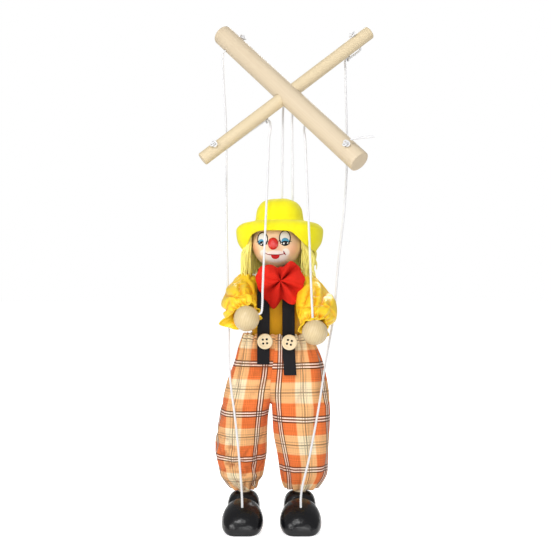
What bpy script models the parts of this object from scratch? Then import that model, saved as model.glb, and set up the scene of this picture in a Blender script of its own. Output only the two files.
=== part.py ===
"""Clown marionette: a dressed wooden figure hung by six cords from a cross of two round bars.

Metres, Z up. The origin is where the two bars cross, and the figure hangs below it facing -Y.
"""

import math

import bmesh
import bpy
from mathutils import Vector

for old in list(bpy.data.objects):
    bpy.data.objects.remove(old, do_unlink=True)

# clearances
FIT_GAP = 0.0004
CORD_GAP = 0.0006
CLOTH_GAP = 0.0010
CLOTH = 0.0010

# control cross
MAIN_BAR_DIAMETER = 0.0160
MAIN_BAR_LENGTH = 0.1700
CROSS_BAR_DIAMETER = 0.0100
CROSS_BAR_LENGTH = 0.1620
BAR_CHAMFER = 0.0007
MAIN_DIRECTION = Vector((0.597, -0.472, -0.648)).normalized()
CROSS_LEAN = Vector((0.776, 0.138, 0.615))
END_HOLE_INSET = 0.0130
LEG_HOLE_INSET = 0.0150
HAND_EYE_OUT = 0.0215
LEG_EYE_OUT = 0.0585
HEAD_HOLE_OUT = 0.0090
HEAD_HOLE_DEPTH = 0.0055
RIGHT_HEAD_HOLE_TURN = math.radians(25)
RIGHT_LEG_HOLE_TURN = math.radians(40)

# cords and wire eyes
CORD_DIAMETER = 0.0018
CORD_HOLE_DEPTH = 0.0050
KNOT_LOOP = 0.0017
KNOT_RISE = 0.0008
KNOT_CORD = 0.0012
KNOT_TAIL_LENGTH = 0.0210
KNOT_TAIL_SAG = 0.0010
EYE_WIRE = 0.0012
EYE_RING = 0.0044
EYE_SHANK = 0.0045
EYE_STANDOFF = 0.0019
SHANK_GAP = 0.0009
RUN_TURN = 0.0025
CORD_BEND = 0.0013
HEAD_CORD_LEAD = 0.0022
HEAD_CORD_FALL = 0.0220
HEAD_CORD_BOW = 0.0010
HAND_CORD_LEAD = 0.0030
HAND_CORD_FALL = 0.0035
LEG_CORD_DROP = 0.0065
LEG_CORD_LEAD = 0.0060

# head
HEAD_DIAMETER = 0.0380
HEAD_CENTRE = Vector((-0.0078, 0.0070, -0.1109))
NOSE_DIAMETER = 0.0080
NOSE_TURN = math.radians(-7)
NECK_PEG_DIAMETER = 0.0060
NECK_PEG_DEPTH = 0.0120
NECK_PEG_FOOT = 0.0060
NECK_GAP = 0.0032
PEG_CHAMFER = 0.0005
BAND_INSET = 0.0022
HAT_OFFSET_X = 0.0021
CROWN_RADIUS = 0.0182
CROWN_RISE = 0.0168
FELT = 0.0014
HAIR_DEPTH = 0.0042
HAIR_LEFT_LENGTH = 0.0190
HAIR_RIGHT_LENGTH = 0.0205

# hat: share of the crown's radius and drop from its top, then how far the brim reaches out and falls
CROWN_CURVE = ((0.48, 0.0011), (0.69, 0.0026), (0.82, 0.0049), (0.935, 0.0087))
BRIM_SIDE_CURVE = ((0.0, 0.0), (0.0105, 0.0022), (0.0146, 0.0080), (0.0146, 0.0165), (0.0110, 0.0262))
BRIM_FRONT_CURVE = ((0.0, 0.0), (0.0030, 0.0012), (0.0056, 0.0030), (0.0074, 0.0054), (0.0084, 0.0082))

# body and clothes
FIGURE_X = -0.0085
FIGURE_Y = 0.0070
TORSO_WIDTH = 0.0240
TORSO_DEPTH = 0.0190
TORSO_HEIGHT = 0.0875
SHOULDER_DROP = 0.0025
SHOULDER_FORWARD = 0.0015
SHOULDER_ROD_DIAMETER = 0.0024
SHIRT_RISE = 0.0002
SHIRT_EASE_X = 0.0077
SHIRT_EASE_Y = 0.0040
SHIRT_LENGTH = 0.0525
STRAP_WIDTH = 0.0090
STRAP_THICKNESS = 0.0007
STRAP_OFFSET = 0.0093
STRAP_BACK_DROP = 0.0160
STRAP_BEND_DROP = 0.0060
STRAP_SHOULDER_DROP = 0.0006
LEFT_STRAP_DROP = 0.0215
RIGHT_STRAP_DROP = 0.0295
RIGHT_STRAP_LEAN = 0.0012
BUTTON_DIAMETER = 0.0115
BUTTON_THICKNESS = 0.0026
BUTTON_HOLE = 0.0013
LEFT_BUTTON_DROP = 0.0044
LEFT_BUTTON_ASIDE = 0.0012
RIGHT_BUTTON_DROP = 0.0051
RIGHT_BUTTON_ASIDE = 0.0006
WAIST_DROP = 0.0465
BOW_DEPTH = 0.0070
BOW_ASIDE = 0.0034
BOW_DROP = 0.0062

# arms
ARM_DIAMETER = 0.0060
ARM_CHAMFER = 0.0006
HAND_DIAMETER = 0.0182
HAND_LEFT = Vector((-0.0292, -0.0450, -0.1657))
HAND_RIGHT = Vector((0.0188, -0.0450, -0.1754))
SLEEVE_SHOULDER = 0.0070
SLEEVE_FULL = 0.0118
SLEEVE_CUFF = 0.0095
WRIST_GAP = 0.0032

# legs
HIP_DROP = 0.0820
HIP_ROD_DIAMETER = 0.0030
HIP_SPREAD = 0.0205
LEG_DIAMETER = 0.0090
LEG_CHAMFER = 0.0008
ANKLE_LEFT = Vector((-0.0327, 0.0020, 0.0))
ANKLE_RIGHT = Vector((0.0093, 0.0020, 0.0))
CROTCH_DROP = 0.0100
TROUSER_SEAM = 0.0006
WAIST_HALF_WIDTH = 0.0228
WAIST_HALF_DEPTH = 0.0152
SOLE_Z = -0.3197
SHOE_TOE_WIDTH = 0.0295
SHOE_ANKLE_WIDTH = 0.0230
SHOE_TOE_HEIGHT = 0.0215
SHOE_ANKLE_HEIGHT = 0.0225
SHOE_LENGTH = 0.0580
SHOE_WIDEST = 0.30
SHOE_SOLE_FULLNESS = 0.55
SHOE_SOLE_FLATNESS = 1.45
SHOE_CORD_SHARE = 0.82
SHOE_CORD_RISE = 0.83

# sleeves: share of the way from shoulder to wrist, then fullness from the narrow end to the widest
SLEEVE_SHAPE = ((-0.08, -0.4), (0.04, 0.0), (0.22, 0.5), (0.42, 1.0), (0.66, 1.0), (0.86, 0.5), (1.0, 0.0))

# where the figure hangs in balance under the two head cords
BALANCE_Y = -0.0014

# trousers: share of the way down, half depth, then outer and inner edge from the middle seam
SEAT_LEVELS = (
    (0.25, 0.0160, 0.0285, 0.0308),
    (0.50, 0.0168, 0.0328, 0.0358),
    (0.80, 0.0177, 0.0385, 0.0392),
)
LEG_LEVELS_LEFT = (
    (0.00, 0.0180, 0.0415, 0.0000),
    (0.30, 0.0180, 0.0442, 0.0074),
    (0.58, 0.0172, 0.0453, 0.0082),
    (0.80, 0.0156, 0.0425, 0.0100),
    (0.93, 0.0132, 0.0372, 0.0138),
    (1.00, 0.0112, 0.0330, 0.0160),
)
LEG_LEVELS_RIGHT = (
    (0.00, 0.0180, 0.0406, 0.0000),
    (0.30, 0.0180, 0.0409, 0.0000),
    (0.58, 0.0172, 0.0405, 0.0012),
    (0.80, 0.0156, 0.0386, 0.0032),
    (0.93, 0.0132, 0.0340, 0.0052),
    (1.00, 0.0112, 0.0302, 0.0078),
)

DOWN = Vector((0, 0, -1))
SIDEWAYS = Vector((1, 0, 0))
CROSS_DIRECTION = (CROSS_LEAN - MAIN_DIRECTION * CROSS_LEAN.dot(MAIN_DIRECTION)).normalized()
OVER = MAIN_DIRECTION.cross(CROSS_DIRECTION).normalized()
MAIN_RADIUS = MAIN_BAR_DIAMETER / 2
CROSS_RADIUS = CROSS_BAR_DIAMETER / 2
CORD_HOLE = CORD_DIAMETER + 2 * CORD_GAP
HEAD_RADIUS = HEAD_DIAMETER / 2
HAND_RADIUS = HAND_DIAMETER / 2
TORSO_TOP = HEAD_CENTRE.z - HEAD_RADIUS - NECK_GAP
HIP_Z = TORSO_TOP - HIP_DROP
SHIRT_X = TORSO_WIDTH / 2 + SHIRT_EASE_X
SHIRT_Y = TORSO_DEPTH / 2 + SHIRT_EASE_Y
ARM_OUT = max(TORSO_WIDTH / 2 + CLOTH_GAP, STRAP_OFFSET + STRAP_WIDTH / 2 + FIT_GAP) + SLEEVE_SHOULDER


def material(name, colour, roughness):
    made = bpy.data.materials.new(name)
    made.use_nodes = True
    shader = made.node_tree.nodes["Principled BSDF"]
    shader.inputs["Base Color"].default_value = (*colour, 1.0)
    shader.inputs["Roughness"].default_value = roughness
    return made


BAR_WOOD = material("bar_wood", (0.83, 0.72, 0.52), 0.55)
TURNED_WOOD = material("turned_wood", (0.82, 0.66, 0.45), 0.45)
CORD_WHITE = material("white_cotton_cord", (0.88, 0.88, 0.86), 0.85)
WIRE = material("steel_wire", (0.60, 0.60, 0.60), 0.30)
FELT_YELLOW = material("yellow_felt", (0.95, 0.86, 0.02), 0.95)
YARN_YELLOW = material("yellow_yarn", (0.86, 0.70, 0.10), 0.90)
RED_PAINT = material("red_paint", (0.72, 0.03, 0.02), 0.25)
RED_COTTON = material("red_cotton", (0.68, 0.02, 0.02), 0.85)
YELLOW_SATIN = material("yellow_satin", (0.95, 0.52, 0.02), 0.40)
BLACK_RIBBON = material("black_ribbon", (0.01, 0.01, 0.012), 0.60)
PLAID = material("orange_plaid_cotton", (0.85, 0.32, 0.08), 0.85)
BLACK_PAINT = material("black_paint", (0.02, 0.02, 0.022), 0.28)


def place(name, mesh, look, smooth=True):
    mesh.materials.append(look)
    for face in mesh.polygons:
        face.use_smooth = smooth
    made = bpy.data.objects.new(name, mesh)
    bpy.context.scene.collection.objects.link(made)
    return made


def skin(name, rings, look, loop=False, smooth=True):
    """One closed body over rings of equal count; a ring of one point is a pole."""
    built = bmesh.new()
    rows = [[built.verts.new(point) for point in ring] for ring in rings]
    pairs = list(zip(rows, rows[1:]))
    if loop:
        pairs.append((rows[-1], rows[0]))
    for first, second in pairs:
        count = max(len(first), len(second))
        for i in range(count):
            j = (i + 1) % count
            if len(first) == 1:
                built.faces.new((first[0], second[j], second[i]))
            elif len(second) == 1:
                built.faces.new((first[i], first[j], second[0]))
            else:
                built.faces.new((first[i], first[j], second[j], second[i]))
    if not loop:
        for row in (rows[0], rows[-1]):
            if len(row) > 2:
                built.faces.new(row)
    bmesh.ops.recalc_face_normals(built, faces=built.faces)
    if built.calc_volume(signed=True) < 0:
        bmesh.ops.reverse_faces(built, faces=built.faces)
    mesh = bpy.data.meshes.new(name)
    built.to_mesh(mesh)
    built.free()
    return place(name, mesh, look, smooth)


def across(direction):
    helper = Vector((1, 0, 0)) if abs(direction.x) < 0.8 else Vector((0, 1, 0))
    one = direction.cross(helper).normalized()
    return one, direction.cross(one).normalized()


def circle(centre, direction, radius, count):
    one, two = across(direction)
    turns = (2 * math.pi * i / count for i in range(count))
    return [centre + radius * (one * math.cos(t) + two * math.sin(t)) for t in turns]


def rod(name, start, end, radius, look, chamfer=0.0, count=16):
    along = (end - start).normalized()
    stations = [(start, radius), (end, radius)]
    if chamfer:
        stations = [
            (start, radius - chamfer),
            (start + along * chamfer, radius),
            (end - along * chamfer, radius),
            (end, radius - chamfer),
        ]
    made = skin(name, [circle(c, along, r, count) for c, r in stations], look)
    made.data.set_sharp_from_angle(angle=math.radians(35))
    return made


def ball(name, centre, radius, look, count):
    rings = [[centre + Vector((0, 0, radius))]]
    for i in range(1, count // 2):
        t = math.pi * i / (count // 2)
        level = centre + Vector((0, 0, radius * math.cos(t)))
        rings.append(circle(level, Vector((0, 0, 1)), radius * math.sin(t), count))
    rings.append([centre - Vector((0, 0, radius))])
    return skin(name, rings, look)


def cut(target, cutters):
    for i, (start, end, radius) in enumerate(cutters):
        sides = 12 if radius < CORD_DIAMETER else 20
        look = target.data.materials[0]
        tool = rod(target.name + "_cutter_" + str(i), start, end, radius, look, count=sides)
        tool.parent = target
        tool.hide_render = True
        tool.display_type = "WIRE"
        step = target.modifiers.new("hole_" + str(i), "BOOLEAN")
        step.operation = "DIFFERENCE"
        step.solver = "EXACT"
        step.object = tool


def smooth_route(route, spacing):
    """Points of a smooth curve through the route, its slopes weighted by the lengths on each side."""
    steps = [end - start for start, end in zip(route, route[1:])]
    slopes = [steps[0].normalized()]
    for before, after in zip(steps, steps[1:]):
        whole = before.length + after.length
        slopes.append((before.normalized() * after.length + after.normalized() * before.length) / whole)
    slopes.append(steps[-1].normalized())
    points = []
    for i, step in enumerate(steps):
        count = max(2, round(step.length / spacing))
        for k in range(count):
            t = k / count
            lean = slopes[i] * (t * (1 - t) ** 2) - slopes[i + 1] * (t * t * (1 - t))
            points.append(route[i] + step * (t * t * (3 - 2 * t)) + lean * step.length)
    points.append(route[-1])
    return points


def cord(name, route, diameter=CORD_DIAMETER, look=CORD_WHITE, spacing=5.0, closed=False, sides=2):
    points = route if closed else smooth_route(route, diameter * spacing)
    curve = bpy.data.curves.new(name, "CURVE")
    curve.dimensions = "3D"
    curve.bevel_depth = diameter / 2
    curve.bevel_resolution = sides
    curve.use_fill_caps = not closed
    line = curve.splines.new("POLY")
    line.points.add(len(points) - 1)
    for spot, point in zip(line.points, points):
        spot.co = (*point, 1.0)
    line.use_cyclic_u = closed
    curve.materials.append(look)
    made = bpy.data.objects.new(name, curve)
    bpy.context.scene.collection.objects.link(made)
    return made


def knot(name, seat, up):
    """A tight overhand knot lying on the bar with its flat side down."""
    centre = seat + up * (FIT_GAP + KNOT_RISE + KNOT_CORD / 2)
    one, two = across(up)
    route = []
    for i in range(20):
        t = 2 * math.pi * i / 20
        out = KNOT_LOOP + KNOT_RISE * math.cos(3 * t)
        spot = one * (out * math.cos(2 * t)) + two * (out * math.sin(2 * t))
        route.append(centre + spot + up * (KNOT_RISE * math.sin(3 * t)))
    return cord(name, route, KNOT_CORD, closed=True, sides=1)


def level(way):
    return Vector((way.x, way.y, 0)).normalized()


def eye(name, surface, out, inboard):
    """A wire eye under a bar: its ring hangs upright, so the cord passes through it and drops."""
    ring = EYE_RING / 2
    sideways = level(inboard).cross(DOWN)
    middle = surface + out * EYE_STANDOFF + DOWN * ring
    route = [surface - out * EYE_SHANK, surface - out * EYE_SHANK * 0.3]
    for i in range(7):
        t = math.radians(8 + 316 * i / 6)
        route.append(middle - DOWN * (ring * math.cos(t)) + sideways * (ring * math.sin(t)))
    cord(name, route, EYE_WIRE, WIRE, sides=1)
    return middle


# control cross
def main_at(out):
    return MAIN_DIRECTION * out


def cross_at(out):
    return CROSS_DIRECTION * out


main_bar = rod(
    "main_bar",
    main_at(-MAIN_BAR_LENGTH / 2),
    main_at(MAIN_BAR_LENGTH / 2),
    MAIN_RADIUS,
    BAR_WOOD,
    BAR_CHAMFER,
    20,
)
cross_bar = rod(
    "cross_bar",
    cross_at(-CROSS_BAR_LENGTH / 2),
    cross_at(CROSS_BAR_LENGTH / 2),
    CROSS_RADIUS,
    BAR_WOOD,
    BAR_CHAMFER,
    18,
)
UNDER = -OVER
BENEATH_RIGHT = UNDER * math.cos(RIGHT_HEAD_HOLE_TURN) - CROSS_DIRECTION * math.sin(RIGHT_HEAD_HOLE_TURN)
ABOVE_RIGHT_LEG = OVER * math.cos(RIGHT_LEG_HOLE_TURN) - MAIN_DIRECTION * math.sin(RIGHT_LEG_HOLE_TURN)
head_hole_left = main_at(-HEAD_HOLE_OUT) + UNDER * MAIN_RADIUS
head_hole_right = main_at(HEAD_HOLE_OUT) + BENEATH_RIGHT * MAIN_RADIUS
right_hand_end = main_at(MAIN_BAR_LENGTH / 2 - END_HOLE_INSET)
left_leg_end = main_at(LEG_HOLE_INSET - MAIN_BAR_LENGTH / 2)
left_hand_end = cross_at(END_HOLE_INSET - CROSS_BAR_LENGTH / 2)
right_leg_end = cross_at(CROSS_BAR_LENGTH / 2 - END_HOLE_INSET)
right_hand_eye = main_at(HAND_EYE_OUT) + UNDER * MAIN_RADIUS
left_hand_eye = cross_at(-HAND_EYE_OUT) + UNDER * CROSS_RADIUS
right_leg_eye = cross_at(LEG_EYE_OUT) + UNDER * CROSS_RADIUS


def through(at, way, radius):
    return (at - way * 2 * radius, at + way * 2 * radius, CORD_HOLE / 2)


def blind(mouth, inward, depth, radius):
    return (mouth - inward * depth, mouth + inward * (depth + FIT_GAP), radius)


SHANK_HOLE = EYE_WIRE / 2 + SHANK_GAP
cut(
    main_bar,
    [
        (cross_at(-MAIN_BAR_DIAMETER), cross_at(MAIN_BAR_DIAMETER), CROSS_RADIUS + FIT_GAP),
        through(right_hand_end, OVER, MAIN_RADIUS),
        through(left_leg_end, CROSS_DIRECTION, MAIN_RADIUS),
        blind(head_hole_left, OVER, HEAD_HOLE_DEPTH, CORD_HOLE / 2),
        blind(head_hole_right, -BENEATH_RIGHT, HEAD_HOLE_DEPTH, CORD_HOLE / 2),
        blind(right_hand_eye, OVER, EYE_SHANK, SHANK_HOLE),
    ],
)
cut(
    cross_bar,
    [
        through(left_hand_end, OVER, CROSS_RADIUS),
        through(right_leg_end, ABOVE_RIGHT_LEG, CROSS_RADIUS),
        blind(left_hand_eye, OVER, EYE_SHANK, SHANK_HOLE),
        blind(right_leg_eye, OVER, EYE_SHANK, SHANK_HOLE),
    ],
)
knot("left_hand_knot", left_hand_end + OVER * CROSS_RADIUS, OVER)
knot("right_hand_knot", right_hand_end + OVER * MAIN_RADIUS, OVER)
knot("left_leg_knot", left_leg_end + CROSS_DIRECTION * MAIN_RADIUS, CROSS_DIRECTION)
knot("right_leg_knot", right_leg_end + ABOVE_RIGHT_LEG * CROSS_RADIUS, ABOVE_RIGHT_LEG)

knot_reach = KNOT_LOOP + KNOT_RISE + KNOT_CORD / 2
tail_start = right_hand_end + OVER * (MAIN_RADIUS + CORD_DIAMETER + FIT_GAP)
tail_start += CROSS_DIRECTION * (knot_reach + CORD_DIAMETER / 2 + FIT_GAP)
tail_way = (CROSS_DIRECTION * 0.45 + MAIN_DIRECTION * 0.75 + OVER * 0.5).normalized()
cord(
    "right_hand_cord_tail",
    [
        tail_start,
        tail_start + tail_way * KNOT_TAIL_LENGTH * 0.5,
        tail_start + tail_way * KNOT_TAIL_LENGTH - OVER * KNOT_TAIL_SAG,
    ],
)

left_hand_ring = eye("left_hand_eye", left_hand_eye, UNDER, CROSS_DIRECTION)
right_hand_ring = eye("right_hand_eye", right_hand_eye, UNDER, -MAIN_DIRECTION)
right_leg_ring = eye("right_leg_eye", right_leg_eye, UNDER, -CROSS_DIRECTION)


def run(name, at, over, radius, ring, inboard):
    """The part of a cord that stays on the bar, from its knot down the end hole to the wire eye."""
    down = -over
    drop = radius + CORD_DIAMETER
    stop = ring - level(inboard) * (EYE_WIRE / 2 + FIT_GAP)
    start = at + down * drop + inboard * RUN_TURN
    cord(
        name,
        [
            at + over * (radius - FIT_GAP),
            at,
            at + down * radius,
            at + down * (drop - CORD_GAP) + inboard * FIT_GAP,
            start,
            start.lerp(stop, 0.5),
            stop,
        ],
    )


run("left_hand_cord_run", left_hand_end, OVER, CROSS_RADIUS, left_hand_ring, CROSS_DIRECTION)
run("right_hand_cord_run", right_hand_end, OVER, MAIN_RADIUS, right_hand_ring, -MAIN_DIRECTION)
run("right_leg_cord_run", right_leg_end, ABOVE_RIGHT_LEG, CROSS_RADIUS, right_leg_ring, -CROSS_DIRECTION)

# head
head = ball("head_ball", HEAD_CENTRE, HEAD_RADIUS, TURNED_WOOD, 22)
HAT_CENTRE = HEAD_CENTRE + Vector((HAT_OFFSET_X, 0, 0))
BAND_Z = HEAD_CENTRE.z + HEAD_RADIUS - BAND_INSET


def on_head(x, y):
    reach = HEAD_RADIUS**2 - (x - HEAD_CENTRE.x) ** 2 - (y - HEAD_CENTRE.y) ** 2
    return Vector((x, y, HEAD_CENTRE.z + math.sqrt(max(reach, 0.0))))


head_end_left = on_head(head_hole_left.x, HEAD_CENTRE.y)
head_end_right = on_head(head_hole_right.x, HEAD_CENTRE.y)
chin = HEAD_CENTRE + DOWN * HEAD_RADIUS
peg_hole = NECK_PEG_DIAMETER / 2 + FIT_GAP
cut(
    head,
    [
        blind(head_end_left, DOWN, CORD_HOLE_DEPTH, CORD_HOLE / 2),
        blind(head_end_right, DOWN, CORD_HOLE_DEPTH, CORD_HOLE / 2),
        (chin + DOWN * NECK_GAP, chin - DOWN * (NECK_PEG_DEPTH + FIT_GAP), peg_hole),
    ],
)
nose_way = Vector((math.sin(NOSE_TURN), -math.cos(NOSE_TURN), -0.03)).normalized()
nose_seat = HEAD_CENTRE + nose_way * (HEAD_RADIUS + NOSE_DIAMETER / 2 + FIT_GAP / 2)
ball("nose", nose_seat, NOSE_DIAMETER / 2, RED_PAINT, 12)


def hat_rings(inset):
    """Crown and brim of the felt hat; the brim droops at both sides and at the back."""
    count = 24
    top = BAND_Z + CROWN_RISE - inset
    edge = CROWN_RADIUS - inset
    rings = [[Vector((HAT_CENTRE.x, HAT_CENTRE.y, top))]]
    for share, drop in CROWN_CURVE:
        middle = Vector((HAT_CENTRE.x, HAT_CENTRE.y, top - drop))
        rings.append(circle(middle, Vector((0, 0, 1)), edge * share, count))
    for (side_reach, side_fall), (front_reach, front_fall) in zip(BRIM_SIDE_CURVE, BRIM_FRONT_CURVE):
        ring = []
        for point in circle(Vector((0, 0, 0)), Vector((0, 0, 1)), 1.0, count):
            front = max(-point.y, 0.0) ** 1.5
            radius = edge + side_reach + (front_reach - side_reach) * front
            z = BAND_Z - inset - side_fall - (front_fall - side_fall) * front
            ring.append(Vector((HAT_CENTRE.x + point.x * radius, HAT_CENTRE.y + point.y * radius, z)))
        rings.append(ring)
    return rings


hat = skin("hat", hat_rings(0.0) + hat_rings(FELT)[::-1], FELT_YELLOW)
cut(
    hat,
    [
        (spot - DOWN * CORD_HOLE, spot - DOWN * 2 * HEAD_RADIUS, CORD_HOLE / 2)
        for spot in (head_end_left, head_end_right)
    ],
)


def hair(name, from_turn, to_turn, length):
    """A tuft of yarn that covers one side of the head below the hat's band."""
    columns = 9
    levels = 7
    top = HEAD_CENTRE.z + HEAD_RADIUS * 0.38
    rings = []
    for k in range(levels):
        share = k / (levels - 1)
        z = top - (HEAD_RADIUS * 0.38 + length) * share
        inside = HEAD_RADIUS + CLOTH_GAP
        bulge = HAIR_DEPTH * (0.45 + 0.55 * math.sin(math.pi * (0.15 + 0.7 * share)))
        outer = []
        inner = []
        for i in range(columns):
            turn = from_turn + (to_turn - from_turn) * i / (columns - 1)
            way = Vector((math.sin(turn), -math.cos(turn), 0))
            edge = math.sin(math.pi * (0.08 + 0.84 * i / (columns - 1)))
            foot = Vector((HEAD_CENTRE.x, HEAD_CENTRE.y, z))
            outer.append(foot + way * (inside + bulge * edge))
            inner.append(foot + way * inside)
        rings.append(outer + inner[::-1])
    return skin(name, rings, YARN_YELLOW)


hair("hair_left", math.radians(-62), math.radians(-150), HAIR_LEFT_LENGTH)
hair("hair_right", math.radians(62), math.radians(150), HAIR_RIGHT_LENGTH)


# torso, neck and shirt
def oval(centre, half_x, half_y, count, power=2.0):
    points = []
    for i in range(count):
        t = 2 * math.pi * i / count
        x = math.copysign(abs(math.cos(t)) ** (2 / power), math.cos(t)) * half_x
        y = math.copysign(abs(math.sin(t)) ** (2 / power), math.sin(t)) * half_y
        points.append(centre + Vector((x, y, 0)))
    return points


def at_height(z):
    return Vector((FIGURE_X, FIGURE_Y, z))


block_levels = (
    (0.0, 0.46),
    (0.03, 0.68),
    (0.09, 0.88),
    (0.16, 1.0),
    (0.55, 0.92),
    (0.86, 1.0),
    (0.97, 0.94),
    (1.0, 0.80),
)
torso = skin(
    "torso_block",
    [
        oval(at_height(TORSO_TOP - TORSO_HEIGHT * s), TORSO_WIDTH / 2 * w, TORSO_DEPTH / 2 * w, 16, 4.0)
        for s, w in block_levels
    ],
    TURNED_WOOD,
)
torso.data.set_sharp_from_angle(angle=math.radians(40))
neck_top = Vector((HEAD_CENTRE.x, HEAD_CENTRE.y, HEAD_CENTRE.z - HEAD_RADIUS + NECK_PEG_DEPTH))
neck_foot = Vector((HEAD_CENTRE.x, HEAD_CENTRE.y, TORSO_TOP - NECK_PEG_FOOT))
rod("neck_peg", neck_foot, neck_top, NECK_PEG_DIAMETER / 2, BAR_WOOD, PEG_CHAMFER)
shoulder_z = TORSO_TOP - NECK_PEG_FOOT - SHOULDER_DROP - SHOULDER_ROD_DIAMETER / 2
shoulder = Vector((FIGURE_X, FIGURE_Y - SHOULDER_FORWARD, shoulder_z))
rod_ends = SIDEWAYS * (ARM_OUT + ARM_DIAMETER / 2 + FIT_GAP)
rod("shoulder_rod", shoulder - rod_ends, shoulder + rod_ends, SHOULDER_ROD_DIAMETER / 2, WIRE)
hip = Vector((FIGURE_X, FIGURE_Y, HIP_Z))
hip_ends = SIDEWAYS * (HIP_SPREAD + LEG_DIAMETER / 2 + FIT_GAP)
rod("hip_rod", hip - hip_ends, hip + hip_ends, HIP_ROD_DIAMETER / 2, WIRE)
cut(
    torso,
    [
        (neck_foot + DOWN * FIT_GAP, neck_top, peg_hole),
        (shoulder - rod_ends * 2, shoulder + rod_ends * 2, SHOULDER_ROD_DIAMETER / 2 + FIT_GAP),
        (hip - hip_ends * 2, hip + hip_ends * 2, HIP_ROD_DIAMETER / 2 + FIT_GAP),
    ],
)

ARMHOLE = SHIRT_Y * 1.12
SHIRT_TOP = TORSO_TOP + SHIRT_RISE
shirt_levels = (
    (0.0, 0.50),
    (0.02, 0.66),
    (0.07, 0.82),
    (0.16, 0.95),
    (0.50, 1.0),
    (0.84, 0.92),
    (1.0, 0.86),
)


def shirt_rings(inset):
    rings = []
    for s, w in shirt_levels:
        middle = at_height(SHIRT_TOP - SHIRT_LENGTH * s - (inset if s < 0.1 else 0.0))
        rings.append(oval(middle, SHIRT_X * w - inset, SHIRT_Y * w - inset, 18, 3.0))
    return rings


shirt = skin("shirt_body", shirt_rings(0.0) + shirt_rings(CLOTH)[::-1], YELLOW_SATIN, loop=True)
armhole_inside = SIDEWAYS * (TORSO_WIDTH / 2 + FIT_GAP / 2)
cut(
    shirt,
    [
        (shoulder - rod_ends * 3, shoulder - armhole_inside, ARMHOLE),
        (shoulder + armhole_inside, shoulder + rod_ends * 3, ARMHOLE),
    ],
)


# arms, hands and sleeves
def arm(side, hand_centre, cord_way):
    sign = -1 if side == "left" else 1
    top = shoulder + SIDEWAYS * (sign * ARM_OUT)
    along = (hand_centre - top).normalized()
    length = (hand_centre - top).length
    stop = hand_centre - along * (HAND_RADIUS * 0.35)
    start = top - along * ARM_DIAMETER * 0.55
    piece = rod("arm_" + side, start, stop, ARM_DIAMETER / 2, BAR_WOOD, ARM_CHAMFER, 14)
    reach = SIDEWAYS * ARM_DIAMETER * 2
    cut(piece, [(top - reach, top + reach, SHOULDER_ROD_DIAMETER / 2 + FIT_GAP)])
    hand = ball("hand_" + side, hand_centre, HAND_RADIUS, TURNED_WOOD, 16)
    cord_seat = hand_centre + cord_way * HAND_RADIUS
    socket = (stop + along * FIT_GAP, hand_centre - along * HAND_RADIUS * 1.5, ARM_DIAMETER / 2 + FIT_GAP)
    cut(hand, [socket, blind(cord_seat, -cord_way, CORD_HOLE_DEPTH, CORD_HOLE / 2)])
    wrist = length - HAND_RADIUS - WRIST_GAP
    outside = []
    inside = []
    for share, full in SLEEVE_SHAPE:
        narrow = SLEEVE_SHOULDER if share < 0.5 else SLEEVE_CUFF
        radius = narrow + (SLEEVE_FULL - narrow) * full
        aside = SIDEWAYS * (sign * max(0.0, radius - SLEEVE_SHOULDER))
        centre = top + along * (wrist * share) + aside
        outside.append(circle(centre, along, radius, 12))
        inside.append(circle(centre, along, radius - CLOTH, 12))
    sleeve = skin("sleeve_" + side, outside + inside[::-1], YELLOW_SATIN, loop=True)
    cut(sleeve, [(shoulder, top, SHOULDER_ROD_DIAMETER / 2 + 2 * CLOTH_GAP)])
    return cord_seat


LEFT_HAND_CORD = Vector((0.90, -0.10, 0.42)).normalized()
RIGHT_HAND_CORD = Vector((-0.15, 0.0, 0.99)).normalized()
left_hand_seat = arm("left", HAND_LEFT, LEFT_HAND_CORD)
right_hand_seat = arm("right", HAND_RIGHT, RIGHT_HAND_CORD)

# trousers
WAIST_Z = TORSO_TOP - WAIST_DROP
CROTCH_TOP = TORSO_TOP - TORSO_HEIGHT - CLOTH - CLOTH_GAP
CROTCH_Z = CROTCH_TOP - CROTCH_DROP
CUFF_Z = SOLE_Z + SHOE_ANKLE_HEIGHT + CLOTH_GAP
SHIRT_HEM_X = SHIRT_X * 0.92 + CLOTH_GAP + CLOTH
SHIRT_HEM_Y = SHIRT_Y * 0.92 + CLOTH_GAP + CLOTH


def trouser_levels(side):
    """Rows of (height, half depth, outer edge, inner edge, roundness) from the waist to the cuff."""
    legs = LEG_LEVELS_LEFT if side == "left" else LEG_LEVELS_RIGHT
    rows = [(WAIST_Z, max(WAIST_HALF_DEPTH, SHIRT_HEM_Y), max(WAIST_HALF_WIDTH, SHIRT_HEM_X), 0.0, 0.0)]
    for share, depth, left, right in SEAT_LEVELS:
        outer = left if side == "left" else right
        z = WAIST_Z + (CROTCH_TOP - WAIST_Z) * share
        rows.append((z, max(depth, SHIRT_HEM_Y), max(outer, SHIRT_HEM_X), 0.0, 0.0))
    _, depth, outer, _ = legs[0]
    for roundness in (0.0, 0.35, 0.70):
        z = CROTCH_TOP - CROTCH_DROP * math.sin(roundness * math.pi / 2)
        rows.append((z, depth, outer, 0.0, roundness))
    for share, depth, outer, inner in legs:
        rows.append((CROTCH_Z + (CUFF_Z - CROTCH_Z) * share, depth, outer, inner, 1.0))
    return rows


def rounded(turn, power):
    return math.copysign(abs(turn) ** (2 / power), turn)


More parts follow.
